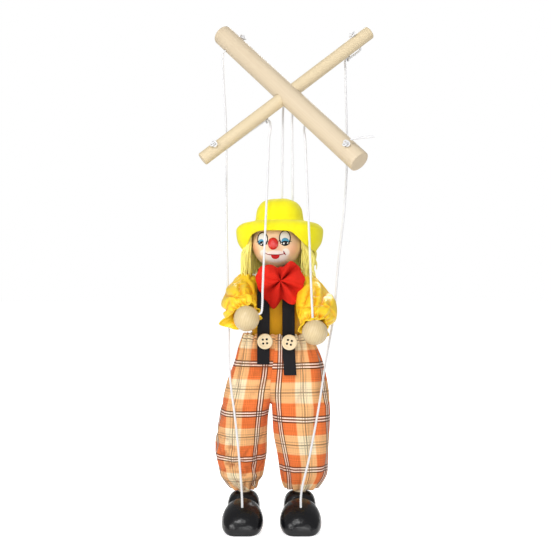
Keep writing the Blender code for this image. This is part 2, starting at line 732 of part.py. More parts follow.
def half_ring(row, sign, count=12):
    """From the front seam round the outside to the back seam; at full roundness it closes into a leg."""
    z, depth, outer, inner, roundness = row
    points = []
    for i in range(count + 1):
        half = math.pi * (i / count - 0.5)
        whole = math.pi * (1 + 2 * i / count)
        open_x = outer * rounded(math.cos(half), 2.6)
        open_y = depth * rounded(math.sin(half), 2.6)
        leg_x = (outer + inner) / 2 + (outer - inner) / 2 * math.cos(whole)
        leg_y = depth * math.sin(whole)
        x = open_x + (leg_x - open_x) * roundness + TROUSER_SEAM / 2
        y = open_y + (leg_y - open_y) * roundness
        points.append(Vector((FIGURE_X + sign * x, FIGURE_Y + y, z)))
    return points if roundness < 1 else points[:-1]


def trousers(side):
    """One half of the trousers, open along the middle seam and closed round the leg below the crotch."""
    sign = -1 if side == "left" else 1
    built = bmesh.new()
    rows = []
    for row in trouser_levels(side):
        ring = [built.verts.new(point) for point in half_ring(row, sign)]
        rows.append(ring if row[-1] < 1 else ring + ring[:1])
    for upper, lower in zip(rows, rows[1:]):
        for j in range(len(upper) - 1):
            face = [upper[j], lower[j], lower[j + 1], upper[j + 1]]
            built.faces.new(face if sign > 0 else face[::-1])
    mesh = bpy.data.meshes.new("trousers_" + side)
    built.to_mesh(mesh)
    built.free()
    made = place("trousers_" + side, mesh, PLAID)
    wall = made.modifiers.new("cloth", "SOLIDIFY")
    wall.thickness = CLOTH
    wall.offset = -1


trousers("left")
trousers("right")


# suspenders, buttons and bow
def seat_front(z):
    """Half depth of the trousers at a height above the crotch."""
    rows = trouser_levels("left")
    for (z0, y0, *_), (z1, y1, *_) in zip(rows, rows[1:]):
        if z1 <= z <= z0:
            return y0 + (y1 - y0) * (z0 - z) / (z0 - z1)
    return rows[0][1]


def strap(name, x, front_end, lower_x):
    """A flat ribbon from the back of the waist over the shoulder and down the front."""
    clear = CLOTH_GAP + STRAP_THICKNESS
    chest = SHIRT_Y + clear
    top = SHIRT_TOP + clear + SHIRT_RISE
    back_z = WAIST_Z - STRAP_BACK_DROP
    bend_z = WAIST_Z - STRAP_BEND_DROP
    path = [
        (x, FIGURE_Y + seat_front(back_z) + clear, back_z),
        (x, FIGURE_Y + seat_front(WAIST_Z) + clear, WAIST_Z),
        (x, FIGURE_Y + chest, SHIRT_TOP - SHIRT_LENGTH * 0.50),
        (x, FIGURE_Y + chest, SHIRT_TOP - SHIRT_LENGTH * 0.14),
        (x, FIGURE_Y + chest * 0.62, top - STRAP_SHOULDER_DROP),
        (x, FIGURE_Y, top),
        (x, FIGURE_Y - chest * 0.62, top - STRAP_SHOULDER_DROP),
        (x, FIGURE_Y - chest, SHIRT_TOP - SHIRT_LENGTH * 0.14),
        (x, FIGURE_Y - chest, SHIRT_TOP - SHIRT_LENGTH * 0.50),
        (x, FIGURE_Y - seat_front(WAIST_Z) - clear, WAIST_Z),
        (x, FIGURE_Y - seat_front(bend_z) - clear, bend_z),
        (lower_x, FIGURE_Y - seat_front(front_end) - clear, front_end),
    ]
    path = [Vector(p) for p in path]
    rings = []
    for i, point in enumerate(path):
        way = path[min(i + 1, len(path) - 1)] - path[max(i - 1, 0)]
        way.x = 0
        out = SIDEWAYS.cross(way).normalized() * STRAP_THICKNESS / 2
        half = SIDEWAYS * STRAP_WIDTH / 2
        rings.append([point - half - out, point + half - out, point + half + out, point - half + out])
    made = skin(name, rings, BLACK_RIBBON)
    made.data.set_sharp_from_angle(angle=math.radians(50))


left_strap_x = FIGURE_X - STRAP_OFFSET
right_strap_x = FIGURE_X + STRAP_OFFSET
strap("suspender_left", left_strap_x, WAIST_Z - LEFT_STRAP_DROP, left_strap_x)
strap("suspender_right", right_strap_x, WAIST_Z - RIGHT_STRAP_DROP, right_strap_x + RIGHT_STRAP_LEAN)


def button(name, x, z):
    """A rimmed wooden button with a sunken middle and four thread holes."""
    back = FIGURE_Y - seat_front(z - BUTTON_DIAMETER / 2) - 2 * CLOTH_GAP - 2 * STRAP_THICKNESS
    facing = Vector((0, -1, 0))
    centre = Vector((x, back, z))
    radius = BUTTON_DIAMETER / 2
    spread = radius * 0.24
    built = bmesh.new()

    def loop_at(middle, size, count):
        return [built.verts.new(point) for point in circle(middle, facing, size, count)]

    def wall(first, second):
        for i in range(len(first)):
            j = (i + 1) % len(first)
            built.faces.new((first[i], first[j], second[j], second[i]))

    def fill(loops):
        edges = []
        for loop in loops:
            for i in range(len(loop)):
                pair = (loop[i], loop[(i + 1) % len(loop)])
                edges.append(built.edges.get(pair) or built.edges.new(pair))
        bmesh.ops.triangle_fill(built, edges=edges, use_beauty=True)

    profile = ((0.88, 0.0), (1.0, 0.25), (1.0, 0.75), (0.90, 1.0), (0.74, 1.0), (0.64, 0.72))
    rim = [loop_at(centre + facing * BUTTON_THICKNESS * t, radius * r, 18) for r, t in profile]
    for first, second in zip(rim, rim[1:]):
        wall(first, second)
    behind = [rim[0]]
    before = [rim[-1]]
    for dx in (-spread, spread):
        for dz in (-spread, spread):
            spot = centre + Vector((dx, 0, dz))
            floor = facing * BUTTON_THICKNESS * profile[-1][1]
            behind.append(loop_at(spot, BUTTON_HOLE / 2, 6))
            before.append(loop_at(spot + floor, BUTTON_HOLE / 2, 6))
            wall(before[-1], behind[-1])
    fill(behind)
    fill(before)
    bmesh.ops.recalc_face_normals(built, faces=built.faces)
    mesh = bpy.data.meshes.new(name)
    built.to_mesh(mesh)
    built.free()
    made = place(name, mesh, TURNED_WOOD)
    made.data.set_sharp_from_angle(angle=math.radians(50))


button("button_left", left_strap_x + LEFT_BUTTON_ASIDE, WAIST_Z - LEFT_BUTTON_DROP)
button("button_right", right_strap_x + RIGHT_BUTTON_ASIDE, WAIST_Z - RIGHT_BUTTON_DROP)

BOW_PINCH = Vector((FIGURE_X + BOW_ASIDE, 0, TORSO_TOP - BOW_DROP))
BOW_OUTLINE = (
    (0, 0.0155),
    (28, 0.0160),
    (48, 0.0158),
    (75, 0.0098),
    (100, 0.0086),
    (130, 0.0120),
    (155, 0.0165),
    (180, 0.0160),
    (205, 0.0164),
    (232, 0.0180),
    (256, 0.0200),
    (276, 0.0140),
    (298, 0.0185),
    (325, 0.0138),
)


def bow_reach(turn):
    for i, (a0, r0) in enumerate(BOW_OUTLINE):
        a1, r1 = BOW_OUTLINE[(i + 1) % len(BOW_OUTLINE)]
        span = (a1 - a0) % 360
        step = (turn - a0) % 360
        if step < span:
            blend = (1 - math.cos(math.pi * step / span)) / 2
            return r0 + (r1 - r0) * blend
    return BOW_OUTLINE[0][1]


def bow(name):
    """A square of cotton gathered at its middle into four soft lobes."""
    back = FIGURE_Y - SHIRT_Y - 2 * (CLOTH_GAP + STRAP_THICKNESS) - CLOTH_GAP
    count = 28
    front_rings = [[BOW_PINCH + Vector((0, back - BOW_DEPTH * 0.35, 0))]]
    back_rings = [[BOW_PINCH + Vector((0, back, 0))]]
    for share in (0.25, 0.55, 0.82, 1.0):
        front = []
        rear = []
        for i in range(count):
            turn = 360 * i / count
            reach = bow_reach(turn) * share
            ripple = 1 + 0.22 * math.cos(math.radians(4 * (turn - 40)))
            swell = math.sin(math.pi * (0.18 + 0.66 * share)) * ripple
            spot = BOW_PINCH + Vector((math.cos(math.radians(turn)), 0, math.sin(math.radians(turn)))) * reach
            front.append(spot + Vector((0, back - BOW_DEPTH * swell * 0.82, 0)))
            rear.append(spot + Vector((0, back, 0)))
        front_rings.append(front)
        back_rings.append(rear)
    return skin(name, front_rings + back_rings[::-1], RED_COTTON)


bow("bow_tie")


# legs and shoes
def shoe_rings(ankle, front_y):
    """Sections from the heel forward: (share of length, width, height, squareness) with a flat sole."""
    heel_y = front_y + SHOE_LENGTH
    sections = (
        (0.0, 0.58 * SHOE_ANKLE_WIDTH, 0.60 * SHOE_ANKLE_HEIGHT, 0.66),
        (0.04, 0.80 * SHOE_ANKLE_WIDTH, 0.86 * SHOE_ANKLE_HEIGHT, 0.64),
        (0.12, 0.96 * SHOE_ANKLE_WIDTH, 0.98 * SHOE_ANKLE_HEIGHT, 0.62),
        (0.23, SHOE_ANKLE_WIDTH, SHOE_ANKLE_HEIGHT, 0.60),
        (0.34, 0.97 * SHOE_ANKLE_WIDTH, 0.97 * SHOE_ANKLE_HEIGHT, 0.62),
        (0.42, 0.86 * SHOE_ANKLE_WIDTH, 0.76 * SHOE_ANKLE_HEIGHT, 0.80),
        (0.50, 0.88 * SHOE_TOE_WIDTH, 0.96 * SHOE_TOE_HEIGHT, 0.96),
        (0.60, 0.97 * SHOE_TOE_WIDTH, SHOE_TOE_HEIGHT, 0.96),
        (0.72, SHOE_TOE_WIDTH, 0.96 * SHOE_TOE_HEIGHT, 0.96),
        (0.84, 0.95 * SHOE_TOE_WIDTH, 0.82 * SHOE_TOE_HEIGHT, 0.94),
        (0.93, 0.82 * SHOE_TOE_WIDTH, 0.62 * SHOE_TOE_HEIGHT, 0.90),
        (0.98, 0.64 * SHOE_TOE_WIDTH, 0.44 * SHOE_TOE_HEIGHT, 0.86),
        (1.0, 0.46 * SHOE_TOE_WIDTH, 0.32 * SHOE_TOE_HEIGHT, 0.84),
    )
    rings = []
    for share, width, height, square in sections:
        y = heel_y - SHOE_LENGTH * share
        ring = []
        for i in range(16):
            t = 2 * math.pi * i / 16
            if math.sin(t) >= 0:
                side = math.copysign(abs(math.cos(t)) ** square, math.cos(t)) * width / 2
                rise = height * (SHOE_WIDEST + (1 - SHOE_WIDEST) * math.sin(t) ** square)
            else:
                side = math.copysign(abs(math.cos(t)) ** SHOE_SOLE_FULLNESS, math.cos(t)) * width / 2
                rise = height * SHOE_WIDEST * (1 - min(1.0, -math.sin(t) * SHOE_SOLE_FLATNESS))
            ring.append(Vector((ankle.x + side, y, SOLE_Z + rise)))
        rings.append(ring)
    return rings


def leg(side, ankle):
    sign = -1 if side == "left" else 1
    top = hip + SIDEWAYS * (sign * HIP_SPREAD)
    foot = Vector((ankle.x, ankle.y, SOLE_Z + SHOE_ANKLE_HEIGHT * 0.55))
    along = (foot - top).normalized()
    start = top - along * LEG_DIAMETER * 0.55
    piece = rod("leg_" + side, start, foot, LEG_DIAMETER / 2, BAR_WOOD, LEG_CHAMFER, 14)
    reach = SIDEWAYS * LEG_DIAMETER * 2
    cut(piece, [(top - reach, top + reach, HIP_ROD_DIAMETER / 2 + FIT_GAP)])

    front_y = ankle.y - SHOE_LENGTH * 0.77
    shoe = skin("shoe_" + side, shoe_rings(ankle, front_y), BLACK_PAINT)
    shoe.data.set_sharp_from_angle(angle=math.radians(60))
    cord_y = front_y + SHOE_LENGTH * (1 - SHOE_CORD_SHARE)
    cord_seat = Vector((ankle.x, cord_y, SOLE_Z + SHOE_TOE_HEIGHT * SHOE_CORD_RISE))
    socket = (foot + along * FIT_GAP, foot - along * SHOE_ANKLE_HEIGHT * 2, LEG_DIAMETER / 2 + FIT_GAP)
    cut(shoe, [socket, blind(cord_seat, DOWN, CORD_HOLE_DEPTH, CORD_HOLE / 2)])
    return cord_seat


left_shoe_seat = leg("left", ANKLE_LEFT)
right_shoe_seat = leg("right", ANKLE_RIGHT)

# hanging cords
END_LEAN = Vector((0.02, 0.03, -1)).normalized()


def head_cord(name, mouth, outward, foot):
    start = mouth - outward * (HEAD_HOLE_DEPTH - FIT_GAP)
    leave = mouth + outward * HEAD_CORD_LEAD
    fall = foot - DOWN * HEAD_CORD_FALL
    lead = leave.lerp(fall, 0.22) + outward * HEAD_CORD_BOW
    cord(name, [start, mouth, leave, lead, fall, foot, foot + END_LEAN * (CORD_HOLE_DEPTH - FIT_GAP)])


head_cord("head_cord_left", head_hole_left, UNDER, head_end_left)
head_cord("head_cord_right", head_hole_right, BENEATH_RIGHT, head_end_right)


def hand_cord(name, ring, inboard, seat, way):
    start = ring + level(inboard) * (EYE_WIRE / 2 + FIT_GAP)
    leave = start + (level(inboard) + DOWN) * CORD_BEND
    above = seat + way * HAND_CORD_LEAD - DOWN * HAND_CORD_FALL
    route = [start, leave]
    route += [leave.lerp(above, share) for share in (0.08, 0.34, 0.67, 0.94)]
    route += [above, seat + way * CORD_GAP, seat - way * (CORD_HOLE_DEPTH - FIT_GAP)]
    cord(name, route)


hand_cord("hand_cord_left", left_hand_ring, CROSS_DIRECTION, left_hand_seat, LEFT_HAND_CORD)
hand_cord("hand_cord_right", right_hand_ring, -MAIN_DIRECTION, right_hand_seat, RIGHT_HAND_CORD)

left_mouth = left_leg_end - CROSS_DIRECTION * MAIN_RADIUS
left_route = [
    left_leg_end + CROSS_DIRECTION * (MAIN_RADIUS - FIT_GAP),
    left_leg_end,
    left_mouth,
    left_mouth - CROSS_DIRECTION * CORD_BEND,
    left_mouth - CROSS_DIRECTION * 2 * CORD_BEND + DOWN * CORD_BEND,
    left_mouth - CROSS_DIRECTION * 2 * CORD_BEND + DOWN * LEG_CORD_DROP,
    Vector((-0.0472, 0.0240, -0.0238)),
    Vector((-0.0467, 0.0145, -0.0701)),
    Vector((-0.0450, 0.0021, -0.1314)),
    Vector((-0.0435, -0.0066, -0.1730)),
    Vector((-0.0419, -0.0152, -0.2144)),
    Vector((-0.0388, -0.0197, -0.2358)),
    Vector((-0.0344, -0.0279, -0.2757)),
]
right_inboard = level(-CROSS_DIRECTION)
right_start = right_leg_ring + right_inboard * (EYE_WIRE / 2 + FIT_GAP)
right_route = [
    right_start,
    right_start + (right_inboard + DOWN) * CORD_BEND,
    right_start + right_inboard * CORD_BEND + DOWN * LEG_CORD_DROP,
    Vector((0.0452, 0.0080, -0.0540)),
    Vector((0.0428, 0.0024, -0.0877)),
    Vector((0.0386, -0.0031, -0.1217)),
    Vector((0.0342, -0.0102, -0.1647)),
    Vector((0.0271, -0.0167, -0.2040)),
    Vector((0.0228, -0.0210, -0.2305)),
    Vector((0.0155, -0.0271, -0.2672)),
]


def leg_cord(name, route, seat):
    lead = seat - END_LEAN * LEG_CORD_LEAD
    cord(name, route + [lead, seat, seat + END_LEAN * (CORD_HOLE_DEPTH - FIT_GAP)])


leg_cord("leg_cord_left", left_route, left_shoe_seat)
leg_cord("leg_cord_right", right_route, right_shoe_seat)


# pivots: each moving group is parented to an empty on its joint's axis
def pivot(name, spot, pieces, holder=None):
    made = bpy.data.objects.new(name + "_pivot", None)
    made.empty_display_size = HEAD_RADIUS
    bpy.context.scene.collection.objects.link(made)
    made.location = spot
    if holder:
        made.parent = holder
        made.location = spot - holder.location
    for piece in pieces:
        bpy.data.objects[piece].parent = made
        bpy.data.objects[piece].location = -spot
    return made


swing_spot = Vector((0, BALANCE_Y, (head_hole_left.z + head_hole_right.z) / 2))
swing = pivot(
    "swing",
    swing_spot,
    [
        "torso_block",
        "neck_peg",
        "shoulder_rod",
        "hip_rod",
        "shirt_body",
        "bow_tie",
        "suspender_left",
        "suspender_right",
        "button_left",
        "button_right",
        "trousers_left",
        "trousers_right",
        "head_cord_left",
        "head_cord_right",
    ],
)
pivot("head_turn", chin, ["head_ball", "nose", "hat", "hair_left", "hair_right"], swing)
for side, sign in (("left", -1), ("right", 1)):
    arm_spot = shoulder + SIDEWAYS * (sign * ARM_OUT)
    leg_spot = hip + SIDEWAYS * (sign * HIP_SPREAD)
    pivot(side + "_arm_lift", arm_spot, ["arm_" + side, "hand_" + side, "sleeve_" + side], swing)
    pivot(side + "_leg_lift", leg_spot, ["leg_" + side, "shoe_" + side], swing)
pivot("left_hand_line_swing", left_hand_ring, ["hand_cord_left"])
pivot("right_hand_line_swing", right_hand_ring, ["hand_cord_right"])
pivot("left_leg_line_swing", left_mouth, ["leg_cord_left"])
pivot("right_leg_line_swing", right_leg_ring, ["leg_cord_right"])
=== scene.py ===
import math
import random

import bmesh
import bpy
import numpy as np
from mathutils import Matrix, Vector, noise


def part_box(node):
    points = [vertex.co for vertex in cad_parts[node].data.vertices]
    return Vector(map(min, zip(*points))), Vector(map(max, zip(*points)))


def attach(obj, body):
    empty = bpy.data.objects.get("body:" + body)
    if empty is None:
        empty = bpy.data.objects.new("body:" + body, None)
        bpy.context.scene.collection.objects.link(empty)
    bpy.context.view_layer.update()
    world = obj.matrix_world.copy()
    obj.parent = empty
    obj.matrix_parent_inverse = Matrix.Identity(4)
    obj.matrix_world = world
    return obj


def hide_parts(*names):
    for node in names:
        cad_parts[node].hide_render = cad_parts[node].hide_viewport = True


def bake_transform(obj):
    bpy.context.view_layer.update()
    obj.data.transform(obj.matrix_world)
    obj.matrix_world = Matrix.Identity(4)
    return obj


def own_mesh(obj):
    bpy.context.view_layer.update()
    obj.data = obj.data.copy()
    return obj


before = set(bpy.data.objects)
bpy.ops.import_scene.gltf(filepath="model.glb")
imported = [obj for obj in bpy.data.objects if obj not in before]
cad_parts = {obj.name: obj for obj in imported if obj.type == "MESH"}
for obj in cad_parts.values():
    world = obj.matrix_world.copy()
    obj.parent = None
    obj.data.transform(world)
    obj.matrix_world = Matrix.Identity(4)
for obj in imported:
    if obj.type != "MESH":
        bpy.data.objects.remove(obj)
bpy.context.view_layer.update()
print("frame loaded with", len(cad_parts), "nodes")

scene = bpy.context.scene
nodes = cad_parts
downWay = Vector((0, 0, -1))
sideSign = {"left": -1, "right": 1}
mm = 0.001


# node helpers
def addNode(tree, kind, settings=None, inputs=None):
    made = tree.nodes.new(kind)
    for key, value in (settings or {}).items():
        setattr(made, key, value)
    for key, value in (inputs or {}).items():
        if isinstance(value, bpy.types.NodeSocket):
            tree.links.new(value, made.inputs[key])
        else:
            made.inputs[key].default_value = value
    return made


def calc(tree, operation, first, second=0.0, third=0.0):
    made = addNode(tree, "ShaderNodeMath", {"operation": operation}, {0: first, 1: second, 2: third})
    return made.outputs[0]


def stepDown(tree, value, start, end):  # 1 below start, 0 above end
    made = addNode(tree, "ShaderNodeMapRange", {"interpolation_type": "SMOOTHSTEP"},
        {"Value": value, "From Min": start, "From Max": end, "To Min": 1.0, "To Max": 0.0})
    return made.outputs["Result"]


def gapBetween(tree, first, second):
    return calc(tree, "ABSOLUTE", calc(tree, "SUBTRACT", first, second))


def vectorCalc(tree, operation, first, second=(0, 0, 0)):
    key = "Scale" if operation == "SCALE" else 1
    made = addNode(tree, "ShaderNodeVectorMath", {"operation": operation}, {0: first, key: second})
    return made.outputs["Value" if operation in ("DISTANCE", "LENGTH") else "Vector"]


def noiseOn(tree, vector, scale, detail):
    made = addNode(tree, "ShaderNodeTexNoise", None, {"Vector": vector, "Scale": scale, "Detail": detail})
    return made.outputs[0]


def mixColour(tree, share, first, second):
    made = addNode(tree, "ShaderNodeMix", {"data_type": "RGBA"}, {0: share, 6: first, 7: second})
    return made.outputs[2]


def newGroup(name, inputs, outputs):
    tree = bpy.data.node_groups.new(name, "ShaderNodeTree")
    for label, kind, value in inputs:
        socket = tree.interface.new_socket(label, in_out="INPUT", socket_type=kind)
        if value is not None:
            socket.default_value = value
    for label, kind in outputs:
        tree.interface.new_socket(label, in_out="OUTPUT", socket_type=kind)
    return tree, tree.nodes.new("NodeGroupInput").outputs, tree.nodes.new("NodeGroupOutput").inputs


def useGroup(tree, group, inputs):
    return addNode(tree, "ShaderNodeGroup", {"node_tree": group}, inputs).outputs


# shared surface effects
floatKind, colourKind, vectorKind = "NodeSocketFloat", "NodeSocketColor", "NodeSocketVector"


def makeGrainGroup():
    tree, given, out = newGroup("woodGrain",
        [("Vector", vectorKind, None), ("Light", colourKind, None), ("Dark", colourKind, None),
        ("Rings", floatKind, 260.0), ("Strength", floatKind, 0.5)],
        [("Color", colourKind), ("Height", floatKind)])
    stretched = vectorCalc(tree, "MULTIPLY", given["Vector"], (1, 1, 0.06))  # the grain runs along Z
    streaks = noiseOn(tree, stretched, 900.0, 4.0)
    wander = noiseOn(tree, stretched, 70.0, 2.0)
    rings = addNode(tree, "ShaderNodeTexWave", {"wave_type": "BANDS", "bands_direction": "X"},
        {"Vector": stretched, "Scale": given["Rings"], "Distortion": 6.0, "Detail": 2.0})
    mixed = calc(tree, "MULTIPLY", rings.outputs[1], 0.35)
    mixed = calc(tree, "MULTIPLY_ADD", streaks, 0.45, mixed)
    mixed = calc(tree, "MULTIPLY_ADD", wander, 0.35, mixed)
    share = calc(tree, "MULTIPLY", mixed, given["Strength"])
    tree.links.new(mixColour(tree, share, given["Light"], given["Dark"]), out["Color"])
    tree.links.new(streaks, out["Height"])
    return tree


def makeMottleGroup():  # slow change of tone over a surface
    tree, given, out = newGroup("toneMottle",
        [("Vector", vectorKind, None), ("Color", colourKind, None), ("Tint", colourKind, None),
        ("Scale", floatKind, 120.0), ("Amount", floatKind, 0.3)],
        [("Color", colourKind), ("Value", floatKind)])
    cloud = noiseOn(tree, given["Vector"], given["Scale"], 3.0)
    share = calc(tree, "MULTIPLY", cloud, given["Amount"])
    tree.links.new(mixColour(tree, share, given["Color"], given["Tint"]), out["Color"])
    tree.links.new(cloud, out["Value"])
    return tree


def makeWeaveGroup():  # plain weave from a cloth map in metres
    tree, given, out = newGroup("clothWeave",
        [("Vector", vectorKind, None), ("Thread", floatKind, 0.0004)],
        [("Height", floatKind), ("Over", floatKind)])
    parts = addNode(tree, "ShaderNodeSeparateXYZ", None, {0: given["Vector"]})
    waves = []
    for axis in (0, 1):
        turn = calc(tree, "DIVIDE", parts.outputs[axis], given["Thread"])
        waves.append(calc(tree, "SINE", calc(tree, "MULTIPLY", turn, math.pi)))
    over = calc(tree, "MULTIPLY", waves[0], waves[1])
    tree.links.new(calc(tree, "ABSOLUTE", over), out["Height"])
    tree.links.new(calc(tree, "MULTIPLY_ADD", over, 0.5, 0.5), out["Over"])
    return tree


def makeBandGroup():  # one direction of a plaid: wide band, dark lines with pale ones between, uneven yarn
    tree, given, out = newGroup("plaidBands",
        [("Coordinate", floatKind, 0.0), ("Period", floatKind, 0.0375), ("Band", floatKind, 0.0088),
        ("LineGap", floatKind, 0.0020), ("LineWidth", floatKind, 0.0008)],
        [("Band", floatKind), ("Dark", floatKind), ("Pale", floatKind), ("Yarn", floatKind)])
    turn = calc(tree, "ADD", calc(tree, "DIVIDE", given["Coordinate"], given["Period"]), 0.5)
    share = gapBetween(tree, calc(tree, "FRACT", turn), 0.5)
    away = calc(tree, "MULTIPLY", share, given["Period"])  # from the middle of the band
    bandEnd = calc(tree, "ADD", given["Band"], 0.0012)
    tree.links.new(stepDown(tree, away, given["Band"], bandEnd), out["Band"])
    inner = calc(tree, "MULTIPLY", given["LineWidth"], 0.25)
    outer = calc(tree, "MULTIPLY", given["LineWidth"], 0.75)

    def lineWhere(distance):
        return stepDown(tree, distance, inner, outer)

    middle = lineWhere(away)
    sides = lineWhere(gapBetween(tree, away, given["LineGap"]))
    far = calc(tree, "SUBTRACT", calc(tree, "MULTIPLY", given["Period"], 0.5), away)
    lone = calc(tree, "MULTIPLY", lineWhere(far), 0.7)
    faint = calc(tree, "MULTIPLY", lineWhere(gapBetween(tree, far, given["LineGap"])), 0.3)
    dark = calc(tree, "MAXIMUM", calc(tree, "MAXIMUM", middle, sides), calc(tree, "MAXIMUM", lone, faint))
    tree.links.new(dark, out["Dark"])
    half = calc(tree, "MULTIPLY", given["LineGap"], 0.5)
    tree.links.new(lineWhere(gapBetween(tree, away, half)), out["Pale"])
    yarn = addNode(tree, "ShaderNodeTexNoise", {"noise_dimensions": "1D"},
        {"W": given["Coordinate"], "Scale": 1500.0, "Detail": 2.0})
    tree.links.new(yarn.outputs[0], out["Yarn"])
    return tree


grainGroup = makeGrainGroup()
mottleGroup = makeMottleGroup()
weaveGroup = makeWeaveGroup()
bandGroup = makeBandGroup()


def startMaterial(name, roughness, settings=None):
    made = bpy.data.materials.new(name)
    made.use_nodes = True
    tree = made.node_tree
    shader = tree.nodes["Principled BSDF"]
    shader.inputs["Roughness"].default_value = roughness
    for key, value in (settings or {}).items():
        shader.inputs[key].default_value = value
    return made, tree, shader


def objectVector(tree, way=None):
    coordinates = addNode(tree, "ShaderNodeTexCoord").outputs["Object"]
    if way is None:
        return coordinates
    turned = addNode(tree, "ShaderNodeMapping", None, {"Vector": coordinates})
    turned.inputs["Rotation"].default_value = way.rotation_difference(Vector((0, 0, 1))).to_euler()
    return turned.outputs[0]


def dressShader(tree, shader, colour, height, depth):
    tree.links.new(colour, shader.inputs["Base Color"])
    bump = addNode(tree, "ShaderNodeBump", None, {"Height": height, "Distance": depth, "Strength": 1.0})
    tree.links.new(bump.outputs[0], shader.inputs["Normal"])


def woodMaterial(name, light, dark, way, roughness, strength, rings, coat=0.0):
    made, tree, shader = startMaterial(name, roughness, {"Coat Weight": coat, "Coat Roughness": 0.25})
    grain = useGroup(tree, grainGroup, {"Vector": objectVector(tree, way), "Light": light, "Dark": dark,
        "Strength": strength, "Rings": rings})
    dressShader(tree, shader, grain["Color"], grain["Height"], 0.00006)
    return made


def mottledMaterial(name, colour, tint, scale, amount, roughness, fine, depth, settings=None):
    made, tree, shader = startMaterial(name, roughness, settings)
    place = objectVector(tree)
    tone = useGroup(tree, mottleGroup, {"Vector": place, "Color": colour, "Tint": tint, "Scale": scale,
        "Amount": amount})
    dressShader(tree, shader, tone["Color"], noiseOn(tree, place, fine, 4.0), depth)
    return made


def foldShade(tree, colour, deep, amount):  # painted shade: the valleys of folds are darkened towards the deep colour
    valley = addNode(tree, "ShaderNodeAttribute", {"attribute_name": "paintedFoldShade"}).outputs["Fac"]
    return mixColour(tree, calc(tree, "MULTIPLY", valley, amount), colour, deep)


def clothMaterial(name, colour, tint, deep, thread, roughness, depth, amount, settings=None):
    made, tree, shader = startMaterial(name, roughness, settings)
    cloth = addNode(tree, "ShaderNodeUVMap", {"uv_map": "clothMap"}).outputs[0]
    tone = useGroup(tree, mottleGroup, {"Vector": objectVector(tree), "Color": colour, "Tint": tint,
        "Scale": 160.0, "Amount": amount})
    weave = useGroup(tree, weaveGroup, {"Vector": cloth, "Thread": thread})
    share = calc(tree, "MULTIPLY", weave["Over"], 0.22)
    woven = mixColour(tree, share, tone["Color"], tint)
    # painted shade: the fold valleys mix towards the deep colour
    dressShader(tree, shader, foldShade(tree, woven, deep, 0.9), weave["Height"], depth)
    return made


# deep is the colour of painted shade in the fold valleys
plaidLook = {
    "cream": (0.94, 0.77, 0.50, 1), "light": (0.92, 0.49, 0.21, 1), "orange": (0.84, 0.19, 0.045, 1),
    "dark": (0.022, 0.013, 0.010, 1), "pale": (0.95, 0.89, 0.78, 1), "deep": (0.34, 0.07, 0.014, 1),
    "warpPeriod": 0.0385, "weftPeriod": 0.0365, "warpBand": 0.0122, "weftBand": 0.0106, "thread": 0.00042,
}


def plaidMaterial():
    look = plaidLook
    made, tree, shader = startMaterial("plaidCotton", 0.85, {"Sheen Weight": 0.1, "Specular IOR Level": 0.2})
    cloth = addNode(tree, "ShaderNodeUVMap", {"uv_map": "clothMap"}).outputs[0]
    parts = addNode(tree, "ShaderNodeSeparateXYZ", None, {0: cloth})
    bands = []
    for axis, way in enumerate(("warp", "weft")):
        bands.append(useGroup(tree, bandGroup,
            {"Coordinate": parts.outputs[axis], "Period": look[way + "Period"], "Band": look[way + "Band"]}))
    warp, weft = bands
    weave = useGroup(tree, weaveGroup, {"Vector": cloth, "Thread": look["thread"]})
    either = calc(tree, "MAXIMUM", warp["Band"], weft["Band"])
    both = calc(tree, "MULTIPLY", warp["Band"], weft["Band"])
    colour = mixColour(tree, either, look["cream"], look["light"])
    colour = mixColour(tree, both, colour, look["orange"])
    pale = calc(tree, "MULTIPLY", calc(tree, "MAXIMUM", warp["Pale"], weft["Pale"]), 0.85)
    colour = mixColour(tree, pale, colour, look["pale"])
    crossings = calc(tree, "MULTIPLY", weave["Over"], 0.3)
    yarn = calc(tree, "ADD", calc(tree, "ADD", warp["Yarn"], weft["Yarn"]), crossings)
    colour = vectorCalc(tree, "SCALE", colour, calc(tree, "MULTIPLY_ADD", yarn, 0.62, 0.29))
    dark = calc(tree, "MULTIPLY", calc(tree, "MAXIMUM", warp["Dark"], weft["Dark"]), 0.92)
    colour = mixColour(tree, dark, colour, look["dark"])
    # painted shade in the fold valleys of the trousers
    dressShader(tree, shader, foldShade(tree, colour, look["deep"], 0.75), weave["Height"], 0.00010)
    return made


mainWay = Vector((0.597, -0.472, -0.648)).normalized()
crossLean = Vector((0.776, 0.138, 0.615))
crossWay = (crossLean - mainWay * crossLean.dot(mainWay)).normalized()
overWay = mainWay.cross(crossWay).normalized()

mainWood = woodMaterial("mainBarWood", light=(0.70, 0.59, 0.425, 1), dark=(0.57, 0.43, 0.275, 1),
    way=mainWay, roughness=0.55, strength=0.5, rings=240.0)
crossWood = woodMaterial("crossBarWood", light=(0.735, 0.62, 0.415, 1), dark=(0.58, 0.435, 0.25, 1),
    way=crossWay, roughness=0.55, strength=0.5, rings=300.0)
ballWood = woodMaterial("ballWood", light=(0.745, 0.60, 0.345, 1), dark=(0.51, 0.355, 0.165, 1),
    way=Vector((0.3, 0.2, 0.9)), roughness=0.42, strength=0.6, rings=200.0, coat=0.25)
discWood = woodMaterial("discWood", light=(0.88, 0.75, 0.50, 1), dark=(0.72, 0.54, 0.31, 1),
    way=Vector((0.9, 0.0, 0.4)), roughness=0.45, strength=0.5, rings=300.0, coat=0.2)
innerWood = woodMaterial("innerWood", light=(0.80, 0.62, 0.40, 1), dark=(0.60, 0.41, 0.22, 1),
    way=Vector((0, 0, 1)), roughness=0.6, strength=0.5, rings=260.0)
cordCotton = mottledMaterial("cordCotton", (0.84, 0.84, 0.85, 1), (0.66, 0.66, 0.68, 1), scale=900.0,
    amount=0.5, roughness=0.85, fine=5000.0, depth=0.00008)
